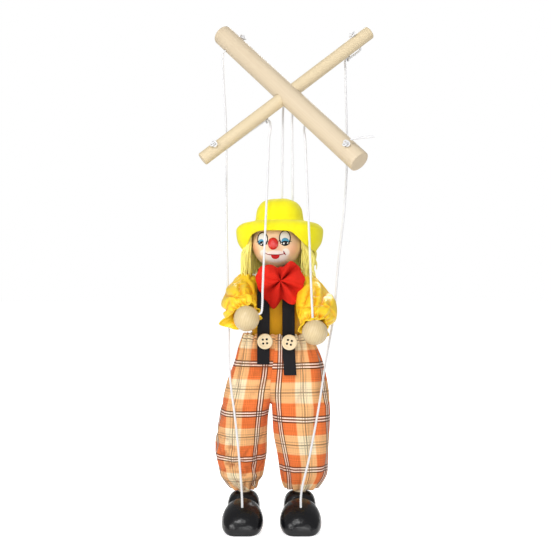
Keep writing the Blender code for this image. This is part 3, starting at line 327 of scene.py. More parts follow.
steelWire = mottledMaterial("steelWire", (0.62, 0.62, 0.63, 1), (0.42, 0.41, 0.40, 1), scale=500.0,
    amount=0.5, roughness=0.3, fine=4000.0, depth=0.00001, settings={"Metallic": 1.0})
hatFelt = mottledMaterial("hatFelt", (0.94, 0.88, 0.012, 1), (0.80, 0.66, 0.004, 1), scale=260.0,
    amount=0.5, roughness=0.95, fine=2600.0, depth=0.00022,
    settings={"Sheen Weight": 0.2, "Specular IOR Level": 0.15})
hairYarn = mottledMaterial("hairYarn", (1.0, 0.93, 0.25, 1), (1.0, 0.86, 0.18, 1), scale=380.0,
    amount=0.5, roughness=0.7, fine=6000.0, depth=0.00005,
    settings={"Sheen Weight": 0.6, "Specular IOR Level": 0.2})
noseGloss = mottledMaterial("noseGloss", (0.72, 0.018, 0.012, 1), (0.52, 0.008, 0.008, 1), scale=200.0,
    amount=0.4, roughness=0.2, fine=900.0, depth=0.00002, settings={"Coat Weight": 0.6})
shoeGloss = mottledMaterial("shoeGloss", (0.004, 0.004, 0.005, 1), (0.009, 0.009, 0.011, 1), scale=220.0,
    amount=0.6, roughness=0.2, fine=600.0, depth=0.0002, settings={"Specular IOR Level": 0.36})
# the deep colours are painted shade for the fold valleys
bowCotton = clothMaterial("bowCotton", (0.86, 0.034, 0.019, 1), (0.72, 0.018, 0.010, 1),
    deep=(0.24, 0.002, 0.001, 1), thread=0.00035, roughness=0.85, depth=0.00010, amount=0.3,
    settings={"Specular IOR Level": 0.08})
shirtSatin = clothMaterial("shirtSatin", (1.0, 0.70, 0.030, 1), (1.0, 0.58, 0.014, 1),
    deep=(0.88, 0.30, 0.002, 1), thread=0.00016, roughness=0.30, depth=0.00002, amount=0.3,
    settings={"Specular IOR Level": 0.9, "Specular Tint": (1.0, 0.90, 0.34, 1)})
# painted shade: the shirt front is a darker copy of the sleeve satin, for the shade between the arms and the
# bow
shadedChestSatin = clothMaterial("shadedChestSatin", (0.62, 0.30, 0.010, 1), (0.54, 0.23, 0.006, 1),
    deep=(0.36, 0.12, 0.002, 1), thread=0.00016, roughness=0.45, depth=0.00002, amount=0.4,
    settings={"Specular IOR Level": 0.3, "Specular Tint": (1.0, 0.86, 0.30, 1)})
ribbonSatin = clothMaterial("ribbonSatin", (0.006, 0.006, 0.008, 1), (0.014, 0.014, 0.018, 1),
    deep=(0.002, 0.002, 0.003, 1), thread=0.0003, roughness=0.75, depth=0.00008, amount=0.4,
    settings={"Specular IOR Level": 0.25})
plaidCotton = plaidMaterial()
print("materials made")


# mesh helpers
def addObject(name, data):
    made = bpy.data.objects.new(name, data)
    scene.collection.objects.link(made)
    return made


def finalMesh(obj):
    return bpy.data.meshes.new_from_object(obj.evaluated_get(bpy.context.evaluated_depsgraph_get()))


def pieceFrom(name, verts, faces, material, smooth=True):
    mesh = bpy.data.meshes.new(name)
    mesh.from_pydata([tuple(v) for v in verts], [], faces)
    mesh.materials.append(material)
    mesh.polygons.foreach_set("use_smooth", [smooth] * len(mesh.polygons))
    return addObject(name, mesh)


def surface(name, rows, material, closed=False, maps=None, lids="", inside=None):  # lids: first, both or none
    count = len(rows[0])
    verts = [point for row in rows for point in row]
    middle = inside or sum(verts, Vector()) / len(verts)
    spots = []
    facing = 0.0
    for i in range(len(rows) - 1):
        for j in range(count if closed else count - 1):
            spot = [(i, j), (i, j + 1), (i + 1, j + 1), (i + 1, j)]
            a, b, c, d = (rows[m][n % count] for m, n in spot)
            facing += (c - a).cross(d - b).dot((a + b + c + d) / 4 - middle)
            spots.append(spot)
    faces = [[m * count + n % count for m, n in spot] for spot in spots]
    if lids:
        faces.append(list(range(count))[::-1])
    if lids == "both":
        faces.append([(len(rows) - 1) * count + j for j in range(count)])
    if facing < 0:
        faces = [face[::-1] for face in faces]
        spots = [spot[::-1] for spot in spots]
    made = pieceFrom(name, verts, faces, material)
    if maps is not None:
        layer = made.data.uv_layers.new(name="clothMap")
        flat = [maps(i, j) for spot in spots for i, j in spot]
        flat += [(0.0, 0.0)] * (len(layer.data) - len(flat))
        layer.data.foreach_set("uv", [x for pair in flat for x in pair])
    return made


def bake(obj):
    mesh = finalMesh(obj)
    obj.modifiers.clear()
    obj.data = mesh
    return obj


def thicken(obj, thickness, smoothing=0, offset=-1):
    wall = obj.modifiers.new("wall", "SOLIDIFY")
    wall.thickness = thickness
    wall.offset = offset
    if smoothing:
        finer = obj.modifiers.new("finer", "SUBSURF")
        finer.levels = smoothing
        finer.render_levels = smoothing
    return bake(obj)


def across(way):
    helper = Vector((1, 0, 0)) if abs(way.x) < 0.8 else Vector((0, 1, 0))
    one = way.cross(helper).normalized()
    return one, way.cross(one).normalized()


def turnsOf(count):
    return [2 * math.pi * i / count for i in range(count)]


def ringOf(centre, way, radius, count):
    one, two = across(way)
    return [centre + radius * (one * math.cos(t) + two * math.sin(t)) for t in turnsOf(count)]


def smoothRoute(route, spacing):
    route = [Vector(p) for p in route]
    steps = [b - a for a, b in zip(route, route[1:])]
    slopes = [steps[0].normalized()]
    for before, after in zip(steps, steps[1:]):
        whole = before.length + after.length
        slopes.append((before.normalized() * after.length + after.normalized() * before.length) / whole)
    slopes.append(steps[-1].normalized())
    points = []
    for i, step in enumerate(steps):
        count = max(2, round(step.length / spacing))
        for k in range(count):
            t = k / count
            lean = slopes[i] * (t * (1 - t) ** 2) - slopes[i + 1] * (t * t * (1 - t))
            points.append(route[i] + step * (t * t * (3 - 2 * t)) + lean * step.length)
    points.append(route[-1])
    return points


def between(table, x):  # smooth reading of rows (x, value, value...) without overshoot
    k = 0
    while k < len(table) - 2 and x > table[k + 1][0]:
        k += 1
    span = table[k + 1][0] - table[k][0]
    t = min(max((x - table[k][0]) / span, 0.0), 1.0)
    values = []
    for c in range(1, len(table[0])):
        rises = [(b[c] - a[c]) / (b[0] - a[0]) for a, b in zip(table, table[1:])]
        ends = []
        for n in (k, k + 1):
            before, after = rises[max(n - 1, 0)], rises[min(n, len(rises) - 1)]
            ends.append(2 * before * after / (before + after) if before * after > 0 else 0.0)
        a, b = table[k][c], table[k + 1][c]
        lean = ends[0] * t * (1 - t) ** 2 - ends[1] * t * t * (1 - t)
        values.append(a + (b - a) * t * t * (3 - 2 * t) + span * lean)
    return values


def wrinkle(x, y, seed):
    return noise.noise(Vector((x, y, seed)))


def meshArray(items, key, size):
    flat = np.zeros(len(items) * size)
    items.foreach_get(key, flat)
    return flat.reshape(-1, size)


def neighbourMean(mesh, rounds, values, fixed=()):
    pairs = meshArray(mesh.edges, "vertices", 2).astype(int)
    counts = np.bincount(pairs.ravel(), minlength=len(values))[:, None]
    for _ in range(rounds):
        total = np.zeros_like(values)
        np.add.at(total, pairs[:, 0], values[pairs[:, 1]])
        np.add.at(total, pairs[:, 1], values[pairs[:, 0]])
        values = (values + total) / (1 + counts)
        values[list(fixed)] = 0.0
    return values


def setFolds(mesh, values):
    marks = mesh.attributes.new("paintedFoldShade", "FLOAT", "POINT")
    marks.data.foreach_set("value", np.clip(values, 0.0, 1.0))


def markFolds(obj, gain, rounds=6):  # depth below the smoothed form, as a share of a millimetre; it sets the painted shade of the fold valleys
    mesh = obj.data
    places = meshArray(mesh.vertices, "co", 3)
    normals = meshArray(mesh.vertices, "normal", 3)
    sunk = ((neighbourMean(mesh, rounds, places) - places) * normals).sum(axis=1)
    setFolds(mesh, gain * sunk / mm)


drapeFacts = {
    "scale": 15.0, "frames": 36, "weight": 0.2, "swellRounds": 8,
    "cloth": {
        "quality": 6, "mass": 0.12, "tension_stiffness": 12, "compression_stiffness": 12,
        "shear_stiffness": 4, "vertex_group_mass": "pinned", "use_pressure": True,
    },
}


def drape(obj, pinned, grow, pressure, bending, form):  # the cut is larger than the form, so the cloth folds
    scale = drapeFacts["scale"]
    places = meshArray(obj.data.vertices, "co", 3)
    obj.data.vertices.foreach_set("co", (places * scale).ravel())
    obj.vertex_groups.new(name="pinned").add(pinned, 1.0, "REPLACE")
    tool = obj.modifiers.new("cloth", "CLOTH")
    cloth = tool.settings
    for key, value in drapeFacts["cloth"].items():
        setattr(cloth, key, value)
    cloth.bending_stiffness = bending
    cloth.shrink_min = -grow
    cloth.uniform_pressure_force = pressure
    cloth.effector_weights.gravity = drapeFacts["weight"]
    tool.point_cache.frame_start = 1
    tool.point_cache.frame_end = drapeFacts["frames"]
    for number in range(1, drapeFacts["frames"] + 1):
        scene.frame_set(number)
    bake(obj)
    scene.frame_set(1)
    moved = meshArray(obj.data.vertices, "co", 3) / scale
    swell = neighbourMean(obj.data, drapeFacts["swellRounds"], moved - places, pinned)
    obj.data.vertices.foreach_set("co", (moved - form * swell).ravel())
    obj.data.update()


# strands along paths, as cords, yarn and wire
def makeStrandTree():
    tree = bpy.data.node_groups.new("strandTube", "GeometryNodeTree")
    face = tree.interface
    face.new_socket("Geometry", in_out="INPUT", socket_type="NodeSocketGeometry")
    sockets = {"Step": floatKind, "Radius": floatKind, "Sides": "NodeSocketInt", "Strands": "NodeSocketInt",
        "Spread": floatKind, "Turns": floatKind, "Look": "NodeSocketMaterial"}
    for label, kind in sockets.items():
        face.new_socket(label, in_out="INPUT", socket_type=kind)
    face.new_socket("Geometry", in_out="OUTPUT", socket_type="NodeSocketGeometry")
    given = tree.nodes.new("NodeGroupInput").outputs
    out = tree.nodes.new("NodeGroupOutput").inputs
    even = addNode(tree, "GeometryNodeResampleCurve", {"mode": "LENGTH"}, {"Curve": given["Geometry"]})
    tree.links.new(given["Step"], even.inputs["Length"])
    copies = addNode(tree, "GeometryNodeDuplicateElements", {"domain": "SPLINE"},
        {"Geometry": even.outputs[0], "Amount": given["Strands"]})
    along = addNode(tree, "GeometryNodeSplineParameter").outputs["Length"]
    share = calc(tree, "DIVIDE", copies.outputs["Duplicate Index"], given["Strands"])
    turn = calc(tree, "MULTIPLY", calc(tree, "MULTIPLY_ADD", along, given["Turns"], share), 2 * math.pi)
    normal = addNode(tree, "GeometryNodeInputNormal").outputs[0]
    tangent = addNode(tree, "GeometryNodeInputTangent").outputs[0]
    side = vectorCalc(tree, "CROSS_PRODUCT", tangent, normal)
    swings = []
    for operation, way in (("COSINE", normal), ("SINE", side)):
        reach = calc(tree, "MULTIPLY", calc(tree, operation, turn), given["Spread"])
        swings.append(vectorCalc(tree, "SCALE", way, reach))
    offset = vectorCalc(tree, "ADD", swings[0], swings[1])
    moved = addNode(tree, "GeometryNodeSetPosition", None, {"Geometry": copies.outputs[0], "Offset": offset})
    profile = addNode(tree, "GeometryNodeCurvePrimitiveCircle", None,
        {"Resolution": given["Sides"], "Radius": given["Radius"]})
    tube = addNode(tree, "GeometryNodeCurveToMesh", None,
        {"Curve": moved.outputs[0], "Profile Curve": profile.outputs[0], "Fill Caps": True})
    if "Scale" in tube.inputs:
        tree.links.new(addNode(tree, "GeometryNodeInputRadius").outputs[0], tube.inputs["Scale"])
    smooth = addNode(tree, "GeometryNodeSetShadeSmooth", None, {"Geometry": tube.outputs[0]})
    real = addNode(tree, "GeometryNodeRealizeInstances", None, {"Geometry": smooth.outputs[0]})
    dressed = addNode(tree, "GeometryNodeSetMaterial", None,
        {"Geometry": real.outputs[0], "Material": given["Look"]})
    tree.links.new(dressed.outputs[0], out["Geometry"])
    return tree


strandTree = makeStrandTree()


def strands(name, paths, look, radius, step, sides=8, count=1, spread=0.0, turns=0.0, taper=0.0,
        cyclic=False):
    curve = bpy.data.curves.new(name + "Path", "CURVE")
    curve.dimensions = "3D"
    for path in paths:
        line = curve.splines.new("POLY")
        line.points.add(len(path) - 1)
        line.use_cyclic_u = cyclic
        for i, (spot, point) in enumerate(zip(line.points, path)):
            spot.co = (*point, 1.0)
            spot.radius = 1.0 - taper * i / (len(path) - 1)
    guide = addObject(name + "Path", curve)
    tool = guide.modifiers.new("strandTube", "NODES")
    tool.node_group = strandTree
    values = {"Step": step, "Radius": radius, "Sides": sides, "Strands": count, "Spread": spread,
        "Turns": turns, "Look": look}
    for item in strandTree.interface.items_tree:
        if item.item_type == "SOCKET" and item.in_out == "INPUT" and item.name in values:
            tool[item.identifier] = values[item.name]
    mesh = finalMesh(guide)
    bpy.data.objects.remove(guide, do_unlink=True)
    return addObject(name, mesh)


def settle(obj, body, slotName, *replaced):
    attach(obj, body)
    if replaced:
        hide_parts(*replaced)


# camera, light and floor
cameraFacts = {
    "place": (-0.00885, -0.720, -0.1355), "focalPixels": 960.0, "imagePixels": 551.0, "sensor": 36.0,
}
studioLight = {
    "fill": 0.40, "paper": 0.72, "aim": (0, 0, -0.18), "floorHalf": 6.0,
    "lamps": (("keyLamp", (-0.75, -0.95, 0.15), 0.45, 5.0), ("topLamp", (-0.22, -0.85, 0.62), 0.20, 3.6),
        ("frontLamp", (0.25, -1.3, -0.12), 0.8, 5.9), ("rimLamp", (0.15, 0.95, 0.55), 0.5, 4.6)),
}


def makeStudio():
    lens = bpy.data.cameras.new("studioCamera")
    lens.sensor_width = cameraFacts["sensor"]
    lens.lens = cameraFacts["sensor"] * cameraFacts["focalPixels"] / cameraFacts["imagePixels"]
    lens.clip_start = 0.01
    camera = addObject("studioCamera", lens)
    camera.location = cameraFacts["place"]
    camera.rotation_euler = (math.pi / 2, 0, 0)
    scene.camera = camera
    scene.view_settings.view_transform = "Standard"

    world = bpy.data.worlds.new("studioWorld")
    world.use_nodes = True
    scene.world = world
    tree = world.node_tree
    tree.nodes["Background"].inputs["Color"].default_value = (1, 1, 1, 1)
    seen = addNode(tree, "ShaderNodeLightPath").outputs
    shown = calc(tree, "MAXIMUM", seen["Is Camera Ray"], seen["Is Transmission Ray"])
    strength = calc(tree, "MULTIPLY_ADD", shown, 1.0 - studioLight["fill"], studioLight["fill"])
    tree.links.new(strength, tree.nodes["Background"].inputs["Strength"])

    for name, place, size, power in studioLight["lamps"]:
        lamp = bpy.data.lights.new(name, "AREA")
        lamp.shape = "DISK"
        lamp.size = size
        lamp.energy = power
        holder = addObject(name, lamp)
        holder.location = place
        aim = Vector(studioLight["aim"]) - Vector(place)
        holder.rotation_euler = aim.to_track_quat("-Z", "Y").to_euler()

    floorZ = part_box("shoe_left")[0][2] - 0.0003
    half = studioLight["floorHalf"]
    corners = [(x * half, y * half, floorZ) for x, y in ((-1, -1), (1, -1), (1, 1), (-1, 1))]
    floor = pieceFrom("studioFloor", corners, [(0, 1, 2, 3)], paperWhite(), smooth=False)


def paperWhite():
    made, tree, shader = startMaterial("paperWhite", 0.9)
    tone = useGroup(tree, mottleGroup, {"Vector": objectVector(tree), "Color": (0.92, 0.92, 0.92, 1),
        "Tint": (0.88, 0.88, 0.88, 1), "Scale": 3.0, "Amount": 0.5})
    tree.links.new(tone["Color"], shader.inputs["Base Color"])
    seen = addNode(tree, "ShaderNodeLightPath").outputs
    shown = calc(tree, "MAXIMUM", seen["Is Camera Ray"], seen["Is Glossy Ray"])
    glow = addNode(tree, "ShaderNodeEmission", None, {"Color": (1, 1, 1, 1)})
    tree.links.new(calc(tree, "MULTIPLY", shown, studioLight["paper"]), glow.inputs["Strength"])
    mixed = addNode(tree, "ShaderNodeAddShader", None, {0: shader.outputs[0], 1: glow.outputs[0]})
    tree.links.new(mixed.outputs[0], tree.nodes["Material Output"].inputs["Surface"])
    return made


makeStudio()
print("camera, light and floor set")

# control cross
crossFacts = {
    "mainLength": 0.170, "mainRadius": 0.0080, "crossLength": 0.162, "crossRadius": 0.0050, "edge": 0.0009,
    "endInset": 0.0130, "legInset": 0.0150, "handEyeOut": 0.0215, "legEyeOut": 0.0585, "cordHole": 0.0015,
    "fit": 0.0004, "rightLegTurn": math.radians(40), "steps": 24, "sides": 56, "jointHalf": 0.016,
}
mainRadius, crossRadius = crossFacts["mainRadius"], crossFacts["crossRadius"]
rightLegTurn = crossFacts["rightLegTurn"]
aboveRightLeg = overWay * math.cos(rightLegTurn) - mainWay * math.sin(rightLegTurn)
rightHandEnd = mainWay * (crossFacts["mainLength"] / 2 - crossFacts["endInset"])
leftLegEnd = mainWay * (crossFacts["legInset"] - crossFacts["mainLength"] / 2)
leftHandEnd = crossWay * (crossFacts["endInset"] - crossFacts["crossLength"] / 2)
rightLegEnd = crossWay * (crossFacts["crossLength"] / 2 - crossFacts["endInset"])


def dowel(name, way, length, radius, look, holes):
    edge = crossFacts["edge"]
    start, steps = -length / 2, crossFacts["steps"]
    profile = [(start, radius * 0.5), (start, radius - edge)]
    for t in (0.5, 1.0, 1.57):  # the rounded edge
        profile.append((start + edge * (1 - math.cos(t)), radius - edge * (1 - math.sin(t))))
    profile += [(start + length * k / steps, radius) for k in range(1, steps)]
    profile += [(-s, r) for s, r in profile[4::-1]]
    rows = [ringOf(way * s, way, r, crossFacts["sides"]) for s, r in profile]
    made = surface(name, rows, look, closed=True, lids="both")
    return drilled(made, holes, 24)


def drilled(made, holes, sides):
    drills = []
    for start, end, size in holes:
        rings = [ringOf(spot, (end - start).normalized(), size, sides) for spot in (start, end)]
        drills.append(surface("drill", rings, made.data.materials[0], closed=True, lids="both"))
        step = made.modifiers.new("drill", "BOOLEAN")
        step.object = drills[-1]
        step.solver = "EXACT"
    bake(made)
    for drill in drills:
        bpy.data.objects.remove(drill, do_unlink=True)
    made.data.set_sharp_from_angle(angle=math.radians(50))
    return made


def drillThrough(at, way, radius):
    return (at - way * 2 * radius, at + way * 2 * radius, crossFacts["cordHole"])


jointHalf = crossWay * crossFacts["jointHalf"]
mainDowel = dowel("mainDowel", mainWay, crossFacts["mainLength"], mainRadius, mainWood,
    [(-jointHalf, jointHalf, crossRadius + crossFacts["fit"] * 0.6),
    drillThrough(rightHandEnd, overWay, mainRadius), drillThrough(leftLegEnd, crossWay, mainRadius)])
settle(mainDowel, "control", "bar_wood", "main_bar")
crossDowel = dowel("crossDowel", crossWay, crossFacts["crossLength"], crossRadius, crossWood,
    [drillThrough(leftHandEnd, overWay, crossRadius),
    drillThrough(rightLegEnd, aboveRightLeg, crossRadius)])
settle(crossDowel, "control", "bar_wood", "cross_bar")

cordFacts = {"diameter": 0.0018, "strand": 0.00047, "spread": 0.00043, "turns": 230.0, "step": 0.0007}


def twistedCord(name, path, facts=cordFacts, cyclic=False):  # three strands laid up
    return strands(name, [path], cordCotton, facts["strand"], facts["step"], sides=7, count=3,
        spread=facts["spread"], turns=cordFacts["turns"], cyclic=cyclic)


knotFacts = {
    "loop": 0.0017, "rise": 0.0008, "cord": 0.0012, "strand": 0.00034, "spread": 0.00030, "points": 96,
    "step": 0.0004,
}


def tieKnot(name, seat, up, node):
    k = knotFacts
    centre = seat + up * (crossFacts["fit"] + k["rise"] + k["cord"] / 2)
    one, two = across(up)
    path = []
    for t in turnsOf(k["points"]):
        out = k["loop"] + k["rise"] * math.cos(3 * t)
        spot = one * (out * math.cos(2 * t)) + two * (out * math.sin(2 * t))
        path.append(centre + spot + up * (k["rise"] * math.sin(3 * t)))
    made = twistedCord(name, path, k, cyclic=True)
    settle(made, "control", "white_cord", node)


tieKnot("leftHandTie", leftHandEnd + overWay * crossRadius, overWay, "left_hand_knot")
tieKnot("rightHandTie", rightHandEnd + overWay * mainRadius, overWay, "right_hand_knot")
tieKnot("leftLegTie", leftLegEnd + crossWay * mainRadius, crossWay, "left_leg_knot")
tieKnot("rightLegTie", rightLegEnd + aboveRightLeg * crossRadius, aboveRightLeg, "right_leg_knot")

eyeFacts = {
    "wire": 0.0012, "ring": 0.0044, "shank": 0.0045, "standoff": 0.0019, "start": 8, "sweep": 316,
    "points": 16, "step": 0.0004,
}


def wireEye(name, spot, inboard, node):
    ring = eyeFacts["ring"] / 2
    flat = Vector((inboard.x, inboard.y, 0)).normalized()
    sideways = flat.cross(downWay)
    out = -overWay
    middle = spot + out * eyeFacts["standoff"] + downWay * ring
    route = [spot - out * eyeFacts["shank"], spot - out * eyeFacts["shank"] * 0.3]
    for i in range(eyeFacts["points"] + 1):
        t = math.radians(eyeFacts["start"] + eyeFacts["sweep"] * i / eyeFacts["points"])
        route.append(middle - downWay * (ring * math.cos(t)) + sideways * (ring * math.sin(t)))
    path = smoothRoute(route, 0.0005)
    made = strands(name, [path], steelWire, eyeFacts["wire"] / 2, eyeFacts["step"], sides=12)
    settle(made, "control", "steel_wire", node)


handEyeOut, legEyeOut = crossFacts["handEyeOut"], crossFacts["legEyeOut"]
wireEye("leftHandWire", crossWay * -handEyeOut - overWay * crossRadius, crossWay, "left_hand_eye")
wireEye("rightHandWire", mainWay * handEyeOut - overWay * mainRadius, -mainWay, "right_hand_eye")
wireEye("rightLegWire", crossWay * legEyeOut - overWay * crossRadius, -crossWay, "right_leg_eye")
print("control cross made")

# cord routes, in millimetres from the cross
cordRoutes = {
    "left_hand_cord_run": [(-53.7, -13.4, -39.7), (-52.8, -9.4, -41.8), (-51.8, -5, -44.1),
        (-51.2, -3.9, -44.4), (-49.5, -3.1, -43.3), (-32.9, -0.1, -30.9), (-16.3, 2.9, -18.5)],
    "right_hand_cord_run": [(41.5, -40.6, -43.3), (43, -34, -46.7), (44.6, -27, -50.3),
        (44.6, -25.8, -50.5), (43.5, -24.3, -49.5), (29.5, -13.2, -35), (15.6, -2.2, -20.6)],
    "right_leg_cord_run": [(50.3, 7.7, 45.3), (52.8, 9.4, 41.8), (55.5, 11.2, 38), (55.8, 11.6, 36.9),
        (54.5, 11.5, 35.1), (51.2, 12.9, 32.9), (47.8, 14.2, 30.7)],
    "right_hand_cord_tail": [(44.4, -42.3, -39.4), (51.6, -49.9, -39.2), (59.1, -56.6, -39.5)],
    "head_cord_left": [(-4.8, 6.8, 4.5), (-3.8, 11.2, 2.2), (-3.3, 13.1, 1.3), (-3.2, 12.7, -14.9),
        (-3.8, 7, -70.3), (-3.8, 7, -92.3), (-3.7, 7.1, -96.9)],
    "head_cord_right": [(5, -2.1, -7.8), (4.2, 1.6, -11.2), (3.9, 3.2, -12.6), (3.8, 4.8, -26.8),
        (4.2, 7, -74.2), (4.2, 7, -96.2), (4.3, 7.1, -100.8)],
    "hand_cord_left": [(-14.3, 3.2, -18.5), (-13, 3.4, -19.8), (-13.5, -0.5, -30.8), (-14.8, -13.4, -66.5),
        (-16.6, -29.8, -111.8), (-18, -43.2, -148.9), (-18.2, -46.2, -158), (-18.9, -46.1, -161.8),
        (-25.1, -45.5, -164)],
    "hand_cord_right": [(14, -0.9, -20.6), (13, -0.1, -21.9), (13.3, -3.7, -32.9), (14.4, -15.4, -68.8),
        (15.7, -30.2, -114.4), (16.7, -42.3, -151.7), (17, -45, -159.9), (17.3, -45, -165.8),
        (18.1, -45, -171)],
    "leg_cord_left_top": [(-35.9, 34.1, 50.1), (-41.8, 33.1, 45.4), (-48, 32, 40.5), (-49, 31.8, 39.7),
        (-49.9, 31.6, 38.2)],
    "leg_cord_left": [(-50, 31.6, 37.8), (-50, 31.6, 32.4), (-47.2, 27.5, -23.8), (-46.7, 19, -70.1),
        (-45, 2.1, -131.4), (-43.5, -6.6, -173), (-41.9, -15.2, -214.4), (-38.8, -19.7, -235.8),
        (-34.4, -27.9, -275.7), (-32.8, -32.4, -295.9), (-32.7, -32.2, -301.9), (-32.6, -32.1, -306.5)],
    "leg_cord_right": [(45.8, 13.9, 30.7), (44.5, 13.7, 29.4), (44.5, 13.7, 24.2), (45.2, 8, -54),
        (42.8, 2.4, -87.7), (38.6, -3.1, -121.7), (34.2, -10.2, -164.7), (27.1, -16.7, -204),
        (22.8, -21, -230.5), (15.5, -27.1, -267.2), (9.2, -32.4, -295.9), (9.3, -32.2, -301.9),
        (9.4, -32.1, -306.5)],
}
for node, route in cordRoutes.items():
    cordRoutes[node] = [tuple(round(v * mm, 4) for v in spot) for spot in route]
routeSpacing = 3.6 * cordFacts["diameter"]


def hangCord(name, node):
    path = smoothRoute(cordRoutes[node], routeSpacing)
    made = twistedCord(name, path)
    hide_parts(node)
    return made


for name, node in (("leftHandRun", "left_hand_cord_run"), ("rightHandRun", "right_hand_cord_run")):
    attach(hangCord(name, node), "control")


def shortCord(name, route, *replaced):
    made = twistedCord(name, smoothRoute(cordRoutes[route], routeSpacing))
    settle(made, "control", "white_cord", *replaced)


shortCord("rightLegRun", "right_leg_cord_run", "right_leg_cord_run")
shortCord("rightHandTail", "right_hand_cord_tail", "right_hand_cord_tail")
shortCord("leftLegTop", "leg_cord_left_top")

for side in ("left", "right"):
    made = hangCord(side + "HeadLine", "head_cord_" + side)
    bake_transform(made)


def liftCord(name, node, body):
    made = hangCord(name, node)
    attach(made, body)
    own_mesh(made)


for side in ("left", "right"):
    for limb, end in (("arm", "hand"), ("leg", "leg")):
        name, body = side + end.title() + "Line", side + "_" + end + "_line"
        liftCord(name, end + "_cord_" + side, body)
print("cords hung")

# head and painted face
headFacts = {"centre": Vector((-0.0078, 0.0070, -0.1109)), "radius": 0.0190, "lift": 0.00012}
headCentre, headRadius = headFacts["centre"], headFacts["radius"]


def ballPiece(name, centre, radius, look, count=64, tall=1.0):
    rows = []
    for i in range(count // 2 + 1):
        t = math.pi * i / (count // 2)
        r = max(radius * math.sin(t), radius * 0.002)
        up = Vector((0, 0, radius * tall * math.cos(t)))
        rows.append(ringOf(centre + up, Vector((0, 0, 1)), r, count))
    return surface(name, rows, look, closed=True, lids="both")


# the muzzle is white ovals, in millimetres: middle and half sizes
faceFacts = {
    "light": (0.96, 0.69, 0.44, 1), "dark": (0.86, 0.55, 0.30, 1), "blush": (0.86, 0.28, 0.14, 1),
    "white": (0.93, 0.88, 0.82, 1), "cheeks": ((-0.0165, -0.0080, -0.0048), (0.0120, -0.0130, -0.0050)),
    "muzzle": (((-1.0, -10.4), (9.8, 4.8)), ((6.6, -7.4), (3.0, 3.1)), ((-10.0, -7.8), (2.9, 2.7))),
}


def faceMaterial():
    made, tree, shader = startMaterial("faceWood", 0.42, {"Coat Weight": 0.25, "Coat Roughness": 0.3})
    place = objectVector(tree)
    grain = useGroup(tree, grainGroup, {"Vector": place, "Light": faceFacts["light"],
        "Dark": faceFacts["dark"], "Strength": 0.35, "Rings": 160.0})
    colour = grain["Color"]
    for cheek in faceFacts["cheeks"]:
        away = vectorCalc(tree, "DISTANCE", place, headCentre + Vector(cheek))
        blush = calc(tree, "MULTIPLY", stepDown(tree, away, 0.001, 0.008), 0.45)
        colour = mixColour(tree, blush, colour, faceFacts["blush"])
    muzzle = 0.0
    for (x, z), (halfX, halfZ) in faceFacts["muzzle"]:
        apart = vectorCalc(tree, "SUBTRACT", place, headCentre + Vector((x, 0, z)) * mm)
        apart = vectorCalc(tree, "MULTIPLY", apart, (1000 / halfX, 0.0, 1000 / halfZ))
        muzzle = calc(tree, "MAXIMUM", muzzle, stepDown(tree, vectorCalc(tree, "LENGTH", apart), 0.72, 1.1))
    depth = addNode(tree, "ShaderNodeSeparateXYZ", None, {0: place}).outputs[1]
    ahead = stepDown(tree, depth, headCentre.y - 0.006, headCentre.y - 0.002)
    muzzle = calc(tree, "MULTIPLY", calc(tree, "MULTIPLY", muzzle, ahead), 0.88)
    colour = mixColour(tree, muzzle, colour, faceFacts["white"])
    dressShader(tree, shader, colour, grain["Height"], 0.00004)
    return made


headPiece = ballPiece("headPiece", headCentre, headRadius, faceMaterial(), 96)
settle(headPiece, "head", "turned_wood", "head_ball")


def paint(name, colour, tint):
    return mottledMaterial(name, colour, tint, scale=900.0, amount=0.5, roughness=0.5, fine=3000.0,
        depth=0.00001, settings={"Specular IOR Level": 0.15})


facePaints = {
    "white": paint("paintWhite", (0.92, 0.90, 0.86, 1), (0.84, 0.80, 0.74, 1)),
    "black": paint("paintBlack", (0.012, 0.011, 0.012, 1), (0.03, 0.026, 0.026, 1)),
    "blue": paint("paintBlue", (0.10, 0.38, 0.58, 1), (0.05, 0.24, 0.42, 1)),
    "red": paint("paintRed", (0.66, 0.03, 0.03, 1), (0.5, 0.015, 0.02, 1)),
    "line": paint("paintLine", (0.30, 0.012, 0.014, 1), (0.2, 0.01, 0.01, 1)),
}


def onHead(x, z, lift):
    reach = headRadius + lift
    y = -math.sqrt(max(reach * reach - x * x - z * z, 1e-9))
    return headCentre + Vector((x, y, z))


def paintOn(made, look):
    settle(made, "head", "red_paint" if look in ("red", "line") else "turned_wood")


def facePatch(name, look, outline, lift):
    middle = Vector((sum(p[0] for p in outline), sum(p[1] for p in outline))) / len(outline)
    rows = []
    for share in (0.02, 0.2, 0.4, 0.6, 0.8, 0.97):
        rows.append([onHead(*(middle + (Vector(p) - middle) * share), lift) for p in outline])
    rows.append([onHead(*p, lift * 0.3) for p in outline])
    paintOn(surface(name, rows, facePaints[look], closed=True, lids="first", inside=headCentre), look)


def oval(x, z, halfX, halfZ, count=40, low=0.0, high=2 * math.pi):
    full = high - low >= 2 * math.pi - 0.01
    turns = [low + (high - low) * i / (count if full else count - 1) for i in range(count)]
    return [(x + halfX * math.cos(t), z + halfZ * math.sin(t)) for t in turns]


def faceStroke(name, look, line, width, lift):
    points = [Vector((*p, 0)) for p in line]
    path = smoothRoute(points, 0.0006) if len(points) > 2 else points
    rows = []
    for i, point in enumerate(path):
        way = (path[min(i + 1, len(path) - 1)] - path[max(i - 1, 0)]).normalized()
        share = math.sin(math.pi * (0.12 + 0.76 * i / (len(path) - 1)))
        half = Vector((-way.y, way.x, 0)) * (width * share / 2)
        marks = ((point + half, lift * 0.3), (point, lift), (point - half, lift * 0.3))
        rows.append([onHead(spot.x, spot.y, rise) for spot, rise in marks])
    paintOn(surface(name, rows, facePaints[look], inside=headCentre), look)


